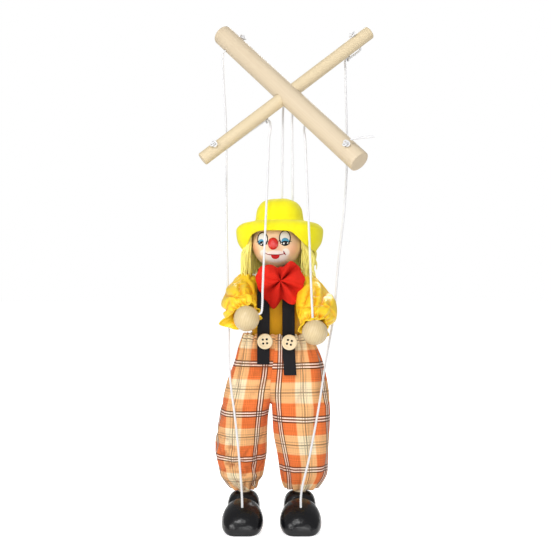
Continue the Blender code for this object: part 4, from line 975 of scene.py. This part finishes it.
# eyes, in millimetres from the head's middle
eyeLooks = {
    "left": {
        "x": -10.6, "z": 2.4, "w": 3.4, "h": 4.6, "iris": (-11.7, 0.2, 2.2, 2.2),
        "pupil": (-11.2, -0.8, 1.7, 1.7), "glints": ((-11.6, -1.5, 0.5), (-10.4, -0.6, 0.4)),
    },
    "right": {
        "x": 5.9, "z": 3.1, "w": 3.7, "h": 5.2, "iris": (6.1, 0.6, 2.9, 2.7),
        "pupil": (6.2, -0.7, 2.9, 1.8), "glints": ((5.1, -0.9, 0.65), (8.0, -0.6, 0.5), (3.4, -0.9, 0.4)),
    },
}
lashes = ((3.5, 1.5), (3.85, 1.2), (5.55, 1.2), (5.9, 1.6))  # turn and length
rimWidth, lidWidth, lashWidth = 0.7 * mm, 1.0 * mm, 0.6 * mm
lift = headFacts["lift"]
for side, eye in eyeLooks.items():
    x, z, w, h = (eye[key] * mm for key in ("x", "z", "w", "h"))
    facePatch(side + "EyeRim", "black", oval(x, z, w + rimWidth, h + rimWidth), lift)
    facePatch(side + "EyeWhite", "white", oval(x, z, w, h), lift * 2)
    facePatch(side + "EyeIris", "blue", oval(*(v * mm for v in eye["iris"])), lift * 3)
    facePatch(side + "EyePupil", "black", oval(*(v * mm for v in eye["pupil"])), lift * 4)
    for k, (gx, gz, size) in enumerate(eye["glints"]):
        glint = oval(gx * mm, gz * mm, size * mm, size * mm, 16)
        facePatch(side + "EyeGlint" + str(k), "white", glint, lift * 5)
    faceStroke(side + "LowerLid", "black", oval(x, z, w, h, 12, 3.35, 6.05), lidWidth, lift * 5)
    for k, (turn, reach) in enumerate(lashes):
        root = Vector((x + w * math.cos(turn), z + h * math.sin(turn)))
        tip = root + Vector((math.cos(turn), math.sin(turn) - 0.1)) * reach * mm
        faceStroke(side + "Lash" + str(k), "black", [root, (root + tip) / 2, tip], lashWidth, lift * 5)

smiles = {
    "smileLine": (((-9.2, -7.4), (-7.4, -8.7), (-3.6, -9.3), (0.4, -9.4), (3.6, -9.0), (6.2, -8.2)), 0.8),
    "smileTickRight": (((5.0, -6.3), (5.3, -7.8), (6.7, -9.4)), 0.95),
    "smileTickLeft": (((-9.6, -6.6), (-9.2, -7.6), (-8.7, -8.6)), 0.7),
}
for name, (line, width) in smiles.items():
    faceStroke(name, "line", [(x * mm, z * mm) for x, z in line], width * mm, lift * 3)
lip = oval(-1.2 * mm, -9.5 * mm, 3.2 * mm, 2.9 * mm, 30, math.pi, 2 * math.pi)
facePatch("lipRed", "red", lip, lift * 2.6)
noseFacts = {"centre": Vector((-0.0106, -0.0160, -0.1121)), "radius": 0.0040, "tall": 1.13}
nosePiece = ballPiece("nosePiece", noseFacts["centre"], noseFacts["radius"], noseGloss, 48, noseFacts["tall"])
settle(nosePiece, "head", "red_paint", "nose")
print("head painted")

# felt hat
hatFacts = {
    "centre": (-0.0057, 0.0070), "band": -0.0941, "crownRadius": 0.0182, "crownRise": 0.0168,
    "felt": 0.0014, "wobble": 0.03, "dent": 0.0008, "wave": 0.0016,
    "crown": ((0.0, 0.02, 0.0), (0.15, 0.25, 0.0002), (0.30, 0.48, 0.0011), (0.45, 0.69, 0.0026),
        (0.60, 0.82, 0.0049), (0.75, 0.935, 0.0087), (1.0, 1.0, 0.0168)),
    "side": ((0.0, 0.0, 0.0), (0.25, 0.0105, 0.0024), (0.5, 0.0148, 0.0078), (0.75, 0.0136, 0.0160),
        (1.0, 0.0078, 0.0252)),
    "front": ((0.0, 0.0, 0.0), (0.25, 0.0030, 0.0012), (0.5, 0.0056, 0.0030), (0.75, 0.0074, 0.0054),
        (1.0, 0.0084, 0.0082)),
    "lifted": ((-95, 0.0), (-80, 0.15), (-65, 0.5), (-52, 0.86), (-30, 0.98), (0, 1.0), (18, 0.95),
        (28, 0.76), (47, 0.40), (65, 0.18), (95, 0.0)),
}


def hatPiece():
    f = hatFacts
    hx, hy = f["centre"]
    count, crownRows, brimRows = 96, 22, 20
    rows = []
    for k in range(crownRows + brimRows):
        onCrown = k < crownRows
        step = k / crownRows if onCrown else (k - crownRows) / (brimRows - 1)
        row = []
        for t in turnsOf(count):
            c, s = math.cos(t), math.sin(t)
            if onCrown:
                share, drop = between(f["crown"], step)
                r = f["crownRadius"] * share * (1 + f["wobble"] * wrinkle(1.4 * c, 1.4 * s, share * 2.2))
                dent = f["dent"] * wrinkle(2 * share * c + 5, 2 * share * s, 1.7)
                z = f["band"] + f["crownRise"] - drop + dent
            else:
                (front,) = between(f["lifted"], (math.degrees(t) - 90) % 360 - 180)
                sideOut, sideDrop = between(f["side"], step)
                frontOut, frontDrop = between(f["front"], step)
                wave = f["wave"] * step * wrinkle(1.3 * c + 3, 1.3 * s, 4.2)
                r = f["crownRadius"] + sideOut + (frontOut - sideOut) * front + wave
                z = f["band"] - sideDrop - (frontDrop - sideDrop) * front + wave * 0.8
            row.append(Vector((hx + r * c, hy + r * s, z)))
        rows.append(row)
    made = surface("hatPiece", rows, hatFelt, closed=True, lids="first", inside=headCentre)
    thicken(made, f["felt"], 1)
    settle(made, "head", "yellow_felt", "hat")


hatPiece()

# yarn hair
hairFacts = {
    "strands": 290, "radius": 0.00052, "points": 16, "curl": 0.0011, "taper": 0.35,
    "left": {"length": 0.0262, "flare": 0.0074, "from": 68, "to": 174, "seed": 17},
    "right": {"length": 0.0285, "flare": 0.0092, "from": 64, "to": 174, "seed": 23},
}


def hairTuft(side):
    sign = sideSign[side]
    facts = hairFacts[side]
    rng = random.Random(facts["seed"])
    paths = []
    for _ in range(hairFacts["strands"]):
        turn = math.radians(facts["from"] + (facts["to"] - facts["from"]) * rng.random())
        depth = rng.random()
        startZ = headCentre.z + headRadius * (0.34 - 0.3 * rng.random())
        reach = facts["length"] * (0.50 + 0.52 * rng.random())
        phase = rng.random() * 6.28
        lean = (rng.random() - 0.5) * 0.004
        way = Vector((sign * math.sin(turn), -math.cos(turn), 0))
        path = []
        for i in range(hairFacts["points"] + 1):
            s = i / hairFacts["points"]
            z = startZ - (startZ - headCentre.z + reach) * s
            curl = hairFacts["curl"] * math.sin(9 * s + phase) * min(1.0, 2 * s)
            out = headRadius + 0.0012 + depth * facts["flare"] * min(1.0, 0.15 + 1.5 * s) + curl * 0.6
            path.append(headCentre + way * out + Vector((curl * 0.5, curl + lean * s, z - headCentre.z)))
        paths.append(path)
    made = strands(side + "Hair", paths, hairYarn, hairFacts["radius"], 0.0012, 6, taper=hairFacts["taper"])
    settle(made, "head", "yellow_yarn", "hair_" + side)


hairTuft("left")
hairTuft("right")
print("hat and hair made")

# hands, and the looks of the hidden wood and rods
handFacts = {
    "radius": 0.0091, "left": Vector((-0.0292, -0.0450, -0.1657)),
    "right": Vector((0.0188, -0.0450, -0.1754)),
}
for side in ("left", "right"):
    handBall = ballPiece(side + "HandBall", handFacts[side], handFacts["radius"], ballWood)
    settle(handBall, "arm_" + side, "turned_wood", "hand_" + side)
hiddenWood = ("torso_block", "neck_peg", "arm_left", "arm_right", "leg_left", "leg_right")
for look, hidden in ((innerWood, hiddenWood), (steelWire, ("shoulder_rod", "hip_rod"))):
    for node in hidden:
        nodes[node].data.materials.clear()
        nodes[node].data.materials.append(look)

# where the clothes sit on the figure
figure = {
    "x": -0.0085, "y": 0.0070, "waist": -0.1796, "crotchTop": -0.2226, "crotch": -0.2326, "cuff": -0.2962,
    "shirtX": 0.0197, "shirtY": 0.0135, "shirtTop": -0.1329, "shirtLength": 0.0525,
}


def rounded(value, power):
    return math.copysign(abs(value) ** (2 / power), value)


# shirt body: share of its length against share of its width
shirtFacts = {
    "levels": ((-0.046, 0.40), (0.0, 0.52), (0.02, 0.66), (0.07, 0.82), (0.16, 0.95), (0.34, 1.0),
        (0.62, 1.0), (0.84, 0.92), (1.0, 0.86)),
    "boxy": 3.0, "fold": 0.0007, "cloth": 0.0007, "flat": (0.105, 0.053),
}


def shirtBody():
    f, facts = figure, shirtFacts
    count, total = 96, 40
    first = facts["levels"][0][0]
    rows = []
    for i in range(total + 1):
        s = first + (1 - first) * i / total
        (width,) = between(facts["levels"], s)
        z = f["shirtTop"] - f["shirtLength"] * s
        row = []
        for t in turnsOf(count):
            cx, cy = math.cos(t), math.sin(t)
            fold = facts["fold"] * wrinkle(9 * cx, 9 * cy + 2 * s, 6.1) * min(1.0, max(0.0, 4 * s))
            x = rounded(cx, facts["boxy"]) * (f["shirtX"] * width + fold)
            y = rounded(cy, facts["boxy"]) * (f["shirtY"] * width + fold)
            row.append(Vector((f["x"] + x, f["y"] + y, z)))
        rows.append(row)
    made = surface("shirtFront", rows, shadedChestSatin, closed=True, maps=lambda i, j: (j * 0.0011, i * 0.0013))
    markFolds(made, 2.0)
    thicken(made, facts["cloth"])
    settle(made, "torso", "yellow_satin", "shirt_body")


shirtBody()

# sleeves
shoulderOut = 0.0212
shoulderPoint = Vector((figure["x"], 0.0055, -0.1428))
sleeveFacts = {
    "left": {"seed": 3.3, "full": 0.0124, "flap": (math.radians(160), 0.0105), "twist": -1.1},
    "right": {"seed": 8.1, "full": 0.0126, "flap": (math.radians(20), 0.0022), "twist": 0.9},
    "wrist": 0.86, "gather": 0.0074, "ruffle": 0.0099, "pleat": 0.0011, "pinch": 0.0009, "fold": 0.0080,
    "cloth": 0.0006, "flat": (0.084, 0.064),
}


def sleeve(side):
    sign = sideSign[side]
    facts = sleeveFacts[side]
    wrist = sleeveFacts["wrist"]
    top = shoulderPoint + Vector((sign * shoulderOut, 0, 0))
    hand = handFacts[side]
    along = (hand - top).normalized()
    length = (hand - top).length - handFacts["radius"] * 0.30
    one = (Vector((1, 0, 0)) - along * along.x).normalized()
    two = one.cross(along).normalized()
    full = facts["full"]
    levels = [(-0.23, 0.0006), (-0.20, 0.0042), (-0.15, 0.0064), (-0.07, 0.0084), (0.12, 0.0102),
        (0.34, full * 0.95), (0.56, full), (0.72, full * 0.95), (0.80, full * 0.80),
        (wrist, sleeveFacts["gather"]), (1.0, sleeveFacts["ruffle"])]
    first = levels[0][0]
    count, total = 72, 48
    flapTurn, flapReach = facts["flap"]
    rows = []
    pinned = []
    for i in range(total + 1):
        s = first + (1 - first) * i / total
        (radius,) = between(levels, s)
        (body,) = between(levels, min(s, 0.72))
        hold = min(1.0, max(0.0, (0.94 - s) / 0.25))
        aside = Vector((sign * max(0.0, body - 0.0070) * hold, 0, 0))
        centre = top + along * (length * s) + aside + downWay * (0.0012 * max(0.0, s) * hold)
        row = []
        for t in turnsOf(count):
            near = math.exp(-(((s - wrist) / 0.10) ** 2))
            pleat = sleeveFacts["pleat"] * math.sin(15 * t + facts["seed"] + 1.4 * math.sin(3 * t)) * near
            pinch = sleeveFacts["pinch"] * math.sin(14 * t + 5 * s) * math.exp(-(((s + 0.05) / 0.13) ** 2))
            loose = min(1.0, max(0.0, s + 0.1) * 2) * (1 - near)
            turned = t + facts["twist"] * s
            ridge = abs(wrinkle(1.3 * math.cos(turned) + 1.2 * s, 1.3 * math.sin(turned), facts["seed"] + s))
            folds = (sleeveFacts["fold"] * min(ridge, 0.45) - 0.0018) * loose
            gap = (t - flapTurn + math.pi) % (2 * math.pi) - math.pi
            flap = flapReach * math.exp(-((gap / 0.34) ** 2)) * min(1.0, max(0.0, (s - wrist) / 0.12))
            wave = sleeveFacts["pleat"] * math.sin(9 * t + facts["seed"] * 2) * max(0.0, (s - wrist) / 0.14)
            r = radius + pleat + pinch + folds + flap + wave
            row.append(centre + one * (r * math.cos(t)) + two * (r * math.sin(t)))
        if s < -0.03 or abs(s - wrist) < 0.021:
            pinned += range(i * count, (i + 1) * count)
        rows.append(row)
    made = surface(side + "Sleeve", rows, shirtSatin, closed=True, lids="first",
        maps=lambda i, j: (j * 0.0013, i * 0.0016), inside=top + along * (length * 0.5))
    drape(made, pinned, grow=0.06, pressure=0.4, bending=0.02, form=0.7)
    markFolds(made, 1.6, 4)
    thicken(made, sleeveFacts["cloth"], 1)
    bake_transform(made)
    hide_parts("sleeve_" + side)


sleeve("left")
sleeve("right")
print("shirt made")

# trousers
strapFacts = {
    "width": 0.0092, "cut": 0.0100, "thick": 0.0007, "offset": 0.0093, "clear": 0.0017, "columns": 12,
    "left": {"drop": 0.0215, "lean": 0.0},
    "right": {"drop": 0.0295, "lean": 0.0012},
}
trouserFacts = {
    "seat": ((0.0, 0.0152, 0.0228, 0.0228), (0.25, 0.0160, 0.0281, 0.0304), (0.50, 0.0168, 0.0314, 0.0350),
        (0.80, 0.0177, 0.0360, 0.0382), (1.0, 0.0180, 0.0380, 0.0396)),
    "left": ((0.00, 0.0180, 0.0398, 0.0041), (0.11, 0.0181, 0.0415, 0.0066), (0.30, 0.0180, 0.0438, 0.0076),
        (0.58, 0.0172, 0.0452, 0.0085), (0.80, 0.0156, 0.0424, 0.0102), (0.93, 0.0132, 0.0372, 0.0138),
        (1.00, 0.0112, 0.0330, 0.0160)),
    "right": ((0.00, 0.0180, 0.0402, -0.0041), (0.11, 0.0181, 0.0405, -0.0033),
        (0.30, 0.0180, 0.0404, -0.0019), (0.58, 0.0172, 0.0400, 0.0014), (0.80, 0.0156, 0.0384, 0.0034),
        (0.93, 0.0132, 0.0340, 0.0054), (1.00, 0.0112, 0.0302, 0.0078)),
    "seamShift": 0.0041, "seam": 0.0002, "cloth": 0.0007, "flat": (0.114, 0.118), "fullLeg": -0.262,
    "gather": 0.0022, "cuffGather": 0.0019, "fold": 0.0017, "lap": (0.0022, 0.0012), "lip": 0.0011,
    "leftSeed": 2.7, "rightSeed": 7.9,
    "warpLine": {
        "left": ((-0.2962, -0.0258), (-0.2865, -0.0252), (-0.2252, -0.0197), (-0.2031, -0.0164),
            (-0.1796, -0.0155)),
        "right": ((-0.2962, 0.0020), (-0.2850, 0.0013), (-0.2740, -0.0006), (-0.2480, -0.0053),
            (-0.2250, -0.0070), (-0.2030, -0.0055), (-0.1796, -0.0050)),
    },
    "weftLine": {
        "left": ((-0.2962, 0.0990), (-0.2714, 0.0730), (-0.2380, 0.0365), (-0.2010, 0.0),
            (-0.1796, -0.0215)),
        "right": ((-0.2962, 0.0895), (-0.2797, 0.0730), (-0.2422, 0.0365), (-0.2025, 0.0),
            (-0.1796, -0.0225)),
    },
}


def trouserPlan(side):
    f, facts = figure, trouserFacts
    seatRows, crotchRows, legRows = 18, 6, 34
    plan = []
    for i in range(seatRows):
        depth, left, right = between(facts["seat"], i / seatRows)
        z = f["waist"] + (f["crotchTop"] - f["waist"]) * i / seatRows
        plan.append((z, depth, left if side == "left" else right, 0.0, 0.0))
    _, depth, outer, _ = facts[side][0]
    seatEnd = facts["seat"][-1][2 if side == "left" else 3]
    for i in range(crotchRows):
        m = i / crotchRows
        z = f["crotchTop"] + (f["crotch"] - f["crotchTop"]) * math.sin(m * math.pi / 2)
        plan.append((z, depth, seatEnd + (outer - seatEnd) * math.sin(m * math.pi / 2), 0.0, m))
    for i in range(legRows + 1):
        depth, outer, inner = between(facts[side], i / legRows)
        plan.append((f["crotch"] + (f["cuff"] - f["crotch"]) * i / legRows, depth, outer, inner, 1.0))
    return plan


def trouserRow(level, count, sign, seed):
    f, facts = figure, trouserFacts
    z, depth, outer, inner, m = level
    drop, below = f["waist"] - z, z - f["cuff"]
    share = min(1.0, drop / (f["waist"] - f["crotchTop"]))
    low = -sign * facts["seamShift"] * share * share * (3 - 2 * share)
    if m < 1:
        inner = low
    row = []
    for j in range(count + 1):
        u = j / count
        edge = abs(2 * u - 1)
        half = math.copysign(math.pi / 2 * edge * (1 + 0.7 * share * (1 - edge)), u - 0.5)
        whole = math.pi * (1 + 2 * u)
        openX = low + (outer - low) * rounded(math.cos(half), 2.6)
        openY = depth * rounded(math.sin(half), 2.6)
        boxy = 2.0 + 0.8 * math.exp(-max(0.0, f["crotch"] - z) / 0.012)
        legX = (outer + inner) / 2 + (outer - inner) / 2 * rounded(math.cos(whole), boxy)
        legY = depth * rounded(math.sin(whole), boxy)
        x, y = openX + (legX - openX) * m, openY + (legY - openY) * m
        cx, cy = math.cos(2 * math.pi * u), math.sin(2 * math.pi * u)
        free = min(1.0, drop / 0.02) * min(1.0, below / 0.02)
        pressed = 0.8 * math.exp(-(((x - strapFacts["offset"]) / 0.006) ** 2)) if y < 0 else 0.0
        pleat = math.sin(2 * math.pi * u * 11 + 1.7 * math.sin(9 * u))
        gather = facts["gather"] * pleat * math.exp(-drop / 0.016) * (1 - pressed)
        cuff = math.sin(2 * math.pi * u * 11 + 2.1 * math.sin(6.3 * u))
        cuffs = facts["cuffGather"] * cuff * math.exp(-below / 0.013)
        folds = facts["fold"] * wrinkle(2.4 * cx + 30 * z, 2.4 * cy, seed) * free * (1 - pressed)
        way = Vector((x - (outer + inner) / 2 * m, y, 0)).normalized()
        near = min(1.0, min(u, 1 - u) / 0.05) if m < 1 else 1.0
        push = (gather + cuffs + folds) * near
        x = max(x + way.x * push, low) + facts["seam"] / 2
        lip = facts["lip"] * pleat * math.exp(-drop / 0.004)
        row.append(Vector((f["x"] + sign * x, f["y"] + y + way.y * push, z + lip)))
    if sign > 0:
        lapX, lapY = (v * (1 - m) for v in facts["lap"])  # the right half laps the left one at the seam
        row = [row[0] + Vector((-lapX, lapY, 0))] + row + [row[-1] + Vector((-lapX, -lapY, 0))]
    return row


def trouserHalf(side):
    facts = trouserFacts
    sign = sideSign[side]
    count = 80
    plan = trouserPlan(side)
    rows = [trouserRow(level, count, sign, facts[side + "Seed"]) for level in plan]
    arcs = []
    for row in rows:
        arc = [0.0]
        for a, b in zip(row, row[1:]):
            arc.append(arc[-1] + (b - a).length)
        arcs.append(arc)
    heights = [level[0] for level in plan]
    parted = [level[4] for level in plan]  # 0 on the seat, 1 on a leg
    hip = [arc[-1] for arc, m in zip(arcs, parted) if m == 0][-1]
    leg = max(arc[-1] for arc, z, m in zip(arcs, heights, parted) if m == 1 and z < facts["fullLeg"])
    starts, scales, reaches = [], [], []
    for row, arc, z, m in zip(rows, arcs, heights, parted):
        (lineX,) = between(facts["warpLine"][side], z)
        j = next((k for k in range(count // 2) if sign * row[k].x >= sign * lineX), 0)
        fuller = hip / arc[-1] if m == 0 else 1.0
        if m == 1:
            fuller += (leg / arc[-1] - 1) * min(1.0, (figure["crotch"] - z) / 0.02)
        starts.append(arc[j] - sign * (row[j].x - lineX))
        scales.append(fuller)
        reaches.append((arc[len(arc) // 2] - starts[-1]) * fuller)
    cloth = []
    pinned = []
    for i, (row, arc) in enumerate(zip(rows, arcs)):
        (v,) = between(facts["weftLine"][side], heights[i])
        nearby = reaches[max(0, i - 9) : i + 10]
        eased = sum(nearby) / len(nearby) - reaches[i]  # so the outer side runs straight past the crotch
        middle = arc[len(arc) // 2]
        shares = [min(1.0, max(0.0, (a - starts[i]) / (middle - starts[i]))) for a in arc]
        cloth.append([((a - starts[i]) * scales[i] + eased * share, v) for a, share in zip(arc, shares)])
        wide = len(row)
        if i < 2 or i > len(rows) - 3:
            pinned += range(i * wide, (i + 1) * wide)
        elif parted[i] < 1:
            pinned += [i * wide, i * wide + 1, (i + 1) * wide - 2, (i + 1) * wide - 1]
    middle = Vector((figure["x"] + sign * 0.021, figure["y"], -0.24))
    made = surface(side + "TrouserHalf", rows, plaidCotton, maps=lambda i, j: cloth[i][j], inside=middle)
    drape(made, pinned, grow=0.032, pressure=0.1, bending=0.05, form=0.9)
    weld = bmesh.new()
    weld.from_mesh(made.data)
    bmesh.ops.remove_doubles(weld, verts=weld.verts, dist=0.00002)
    weld.to_mesh(made.data)
    weld.free()
    made.data.polygons.foreach_set("use_smooth", [True] * len(made.data.polygons))
    markFolds(made, 1.2, 5)
    thicken(made, facts["cloth"], 1)
    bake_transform(made)
    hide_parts("trousers_" + side)


trouserHalf("left")
trouserHalf("right")
print("trousers made")

# suspenders
def seatDepth(z):
    s = (figure["waist"] - z) / (figure["waist"] - figure["crotchTop"])
    return between(trouserFacts["seat"], max(0.0, s))[0]


def suspender(side):
    f = figure
    clear, width, columns = strapFacts["clear"], strapFacts["width"], strapFacts["columns"]
    x = f["x"] + sideSign[side] * strapFacts["offset"]
    endZ = f["waist"] - strapFacts[side]["drop"]
    chest = f["shirtY"] + clear
    top = f["shirtTop"] + clear + 0.0002
    y, waistZ = f["y"], f["waist"]
    low, high = (f["shirtTop"] - f["shirtLength"] * share for share in (0.50, 0.14))
    over = ((chest, low), (chest, high), (chest * 0.62, top - 0.0006))
    path = [(x, y + seatDepth(z) + clear, z) for z in (waistZ - 0.016, waistZ)]
    path += [(x, y + out, z) for out, z in over]
    path += [(x, y, top)]
    path += [(x, y - out, z) for out, z in over[::-1]]
    path += [(x, y - seatDepth(z) - clear, z) for z in (waistZ, waistZ - 0.006)]
    path += [(x + strapFacts[side]["lean"], y - seatDepth(endZ) - clear, endZ)]
    line = smoothRoute(path, 0.0015)
    rows = []
    lengths = [0.0]
    for i, point in enumerate(line):
        if i:
            lengths.append(lengths[-1] + (point - line[i - 1]).length)
        way = line[min(i + 1, len(line) - 1)] - line[max(i - 1, 0)]
        way.x = 0
        out = Vector((1, 0, 0)).cross(way).normalized()
        row = []
        for j in range(columns + 1):
            s = j / columns - 0.5
            wave = 0.00015 * math.sin(5 * s + lengths[-1] * 160)
            row.append(point + Vector((width * s, 0, 0)) + out * wave)
        rows.append(row)
    made = surface(side + "Suspender", rows, ribbonSatin, inside=Vector((x, y, -0.165)),
        maps=lambda i, j: (width * j / columns, lengths[i]))
    thicken(made, strapFacts["thick"], 0, 0)
    settle(made, "torso", "black_ribbon", "suspender_" + side)


suspender("left")
suspender("right")

# buttons
buttonFacts = {
    "radius": 0.00575, "thick": 0.0026, "hole": 0.00085, "spread": 0.36, "clear": 0.0034, "sides": 48,
    "left": {"turn": 50, "shift": 0.0012, "drop": 0.0044},
    "right": {"turn": 30, "shift": 0.0006, "drop": 0.0051},
    "profile": ((0.86, 0.0), (0.95, 0.06), (1.0, 0.25), (1.0, 0.72), (0.965, 0.92), (0.88, 1.0),
        (0.79, 1.0), (0.73, 0.92), (0.66, 0.76), (0.52, 0.72)),
}


def button(side):
    b, own = buttonFacts, buttonFacts[side]
    radius, thick = b["radius"], b["thick"]
    x = figure["x"] + sideSign[side] * strapFacts["offset"] + own["shift"]
    z = figure["waist"] - own["drop"]
    back = figure["y"] - seatDepth(z - radius) - b["clear"]
    centre = Vector((x, back, z))
    facing = Vector((0, -1, 0))
    rows = [ringOf(centre + facing * thick * t, facing, radius * r, b["sides"]) for r, t in b["profile"]]
    made = surface(side + "ButtonDisc", rows, discWood, closed=True, lids="both")
    holes = []
    for k in range(4):
        turn = math.radians(own["turn"] + 90 * k)
        spot = centre + Vector((math.cos(turn), 0, math.sin(turn))) * radius * b["spread"]
        holes.append((spot - facing * 0.002, spot + facing * 0.006, b["hole"]))
    drilled(made, holes, 16)
    settle(made, "torso", "turned_wood", "button_" + side)


button("left")
button("right")

# bow: reach at each turn in degrees, and valleys as (turn, width, depth)
bowFacts = {
    "pinch": (-0.0051, -0.1393), "depth": 0.0095, "clear": 0.0044, "ripple": 0.08, "rays": 0.03,
    "outline": ((0, 0.0180), (28, 0.0168), (48, 0.0172), (62, 0.0160), (80, 0.0104), (100, 0.0100),
        (130, 0.0156), (155, 0.0184), (180, 0.0182), (205, 0.0172), (232, 0.0180), (254, 0.0212),
        (275, 0.0138), (299, 0.0205), (325, 0.0166), (360, 0.0180)),
    "valleys": ((95, 20, 0.9), (38, 14, 1.0), (322, 14, 0.8), (272, 12, 0.8), (216, 17, 0.9),
        (170, 10, 0.15)),
    # painted shade: shade darkens the creases, and tail (turn, width, amount) darkens the lower left tail
    "shade": 0.95, "tail": (242, 27, 0.8), "cloth": 0.0006, "flat": (0.040, 0.040),
}


def bowTie():
    f = bowFacts
    px, pz = f["pinch"]
    back = figure["y"] - figure["shirtY"] - f["clear"]
    count, total = 168, 34
    tailAt, tailWide, tailShade = f["tail"]
    rows, shades = [], []
    for i in range(total + 1):
        s = 0.03 + 0.97 * i / total
        row = []
        for j in range(count):
            turn = 360 * j / count
            (reach,) = between(f["outline"], turn)
            t = math.radians(turn + 5 * math.sin(3 * s))
            crease = 0.0
            for at, wide, deep in f["valleys"]:
                gap = (turn - at + 180) % 360 - 180
                crease = max(crease, deep * math.exp(-((gap / (wide * (0.55 + 0.6 * s))) ** 2)))
            puff = (math.sin(math.pi * min(1.0, 0.10 + 0.80 * s**0.8)) ** 0.8) * 0.92 + 0.08
            ripple = f["ripple"] * wrinkle(3.5 * math.cos(t) * (1 + s), 3.5 * math.sin(t) * (1 + s), 3.1)
            rays = f["rays"] * math.sin(17 * t + 3 * s) * math.exp(-(((s - 0.20) / 0.20) ** 2))
            height = puff * (1 - 0.80 * crease * (1 - 0.30 * s)) + (ripple + rays) * min(1.0, 3 * s)
            r = reach * s * (1 + 0.02 * math.sin(13 * t) * s)
            row.append(Vector((px + r * math.cos(t), back - f["depth"] * height, pz + r * math.sin(t))))
            # painted shade in the creases and over the lower left tail, kept as the fold shade of the cloth
            tail = tailShade * math.exp(-(((turn - tailAt) / tailWide) ** 2)) * s
            shades.append(f["shade"] * crease**1.5 * (1 - 0.55 * s) + tail)
        rows.append(row)
    edge = [Vector((p.x, back - f["cloth"], p.z)) for p in rows[-1]]
    rows.append([(a + b) / 2 for a, b in zip(rows[-1], edge)])
    rows.append(edge)
    made = surface("bowCloth", rows, bowCotton, closed=True, maps=lambda i, j: (i * 0.0006, j * 0.0005),
        lids="first", inside=Vector((px, back + 0.02, pz)))
    setFolds(made.data, shades + shades[-count:] * 2)
    thicken(made, f["cloth"], 1)
    settle(made, "torso", "red_cotton", "bow_tie")


bowTie()
print("bow, straps and buttons made")

# shoes
shoeFacts = {
    "sole": -0.3197, "toeWidth": 0.0304, "ankleWidth": 0.0246, "toeHeight": 0.0215, "ankleHeight": 0.0225,
    "length": 0.0580, "heelShare": 0.23, "widest": 0.30, "underSquare": 0.55, "underRise": 1.45,
    "left": (-0.0327, 0.0020), "right": (0.0093, 0.0020),
    "ankle": ((0.0, 0.58, 0.60, 0.66), (0.04, 0.80, 0.86, 0.64), (0.12, 0.96, 0.98, 0.62),
        (0.23, 1.0, 1.0, 0.60), (0.34, 0.97, 0.97, 0.62), (0.42, 0.86, 0.76, 0.80)),
    "toe": ((0.50, 0.88, 0.96, 0.96), (0.60, 0.97, 1.0, 0.96), (0.72, 1.0, 0.96, 0.96),
        (0.84, 0.95, 0.82, 0.94), (0.93, 0.82, 0.62, 0.90), (0.98, 0.64, 0.44, 0.86),
        (1.0, 0.46, 0.32, 0.84)),
}


def shoe(side):
    f = shoeFacts
    ax, ay = f[side]
    heel = ay + f["length"] * f["heelShare"]
    sections = [(s, w * f["ankleWidth"], h * f["ankleHeight"], q) for s, w, h, q in f["ankle"]]
    sections += [(s, w * f["toeWidth"], h * f["toeHeight"], q) for s, w, h, q in f["toe"]]
    count, total = 64, 80
    rows = []
    for i in range(total + 1):
        share = (1 - math.cos(math.pi * i / total)) / 2
        width, height, square = between(sections, share)
        row = []
        for t in turnsOf(count):
            c, s = math.cos(t), math.sin(t)
            if s >= 0:
                rise = height * (f["widest"] + (1 - f["widest"]) * s**square)
            else:
                square = f["underSquare"]
                rise = height * f["widest"] * (1 - min(1.0, -s * f["underRise"]))
            aside = math.copysign(abs(c) ** square, c) * width / 2
            row.append(Vector((ax + aside, heel - f["length"] * share, f["sole"] + rise)))
        rows.append(row)
    made = surface(side + "ShoePiece", rows, shoeGloss, closed=True, lids="both")
    soften = made.modifiers.new("soften", "SMOOTH")
    soften.factor = 0.5
    soften.iterations = 2
    bake(made)
    settle(made, "leg_" + side, "black_paint", "shoe_" + side)


shoe("left")
shoe("right")
print("shoes made")
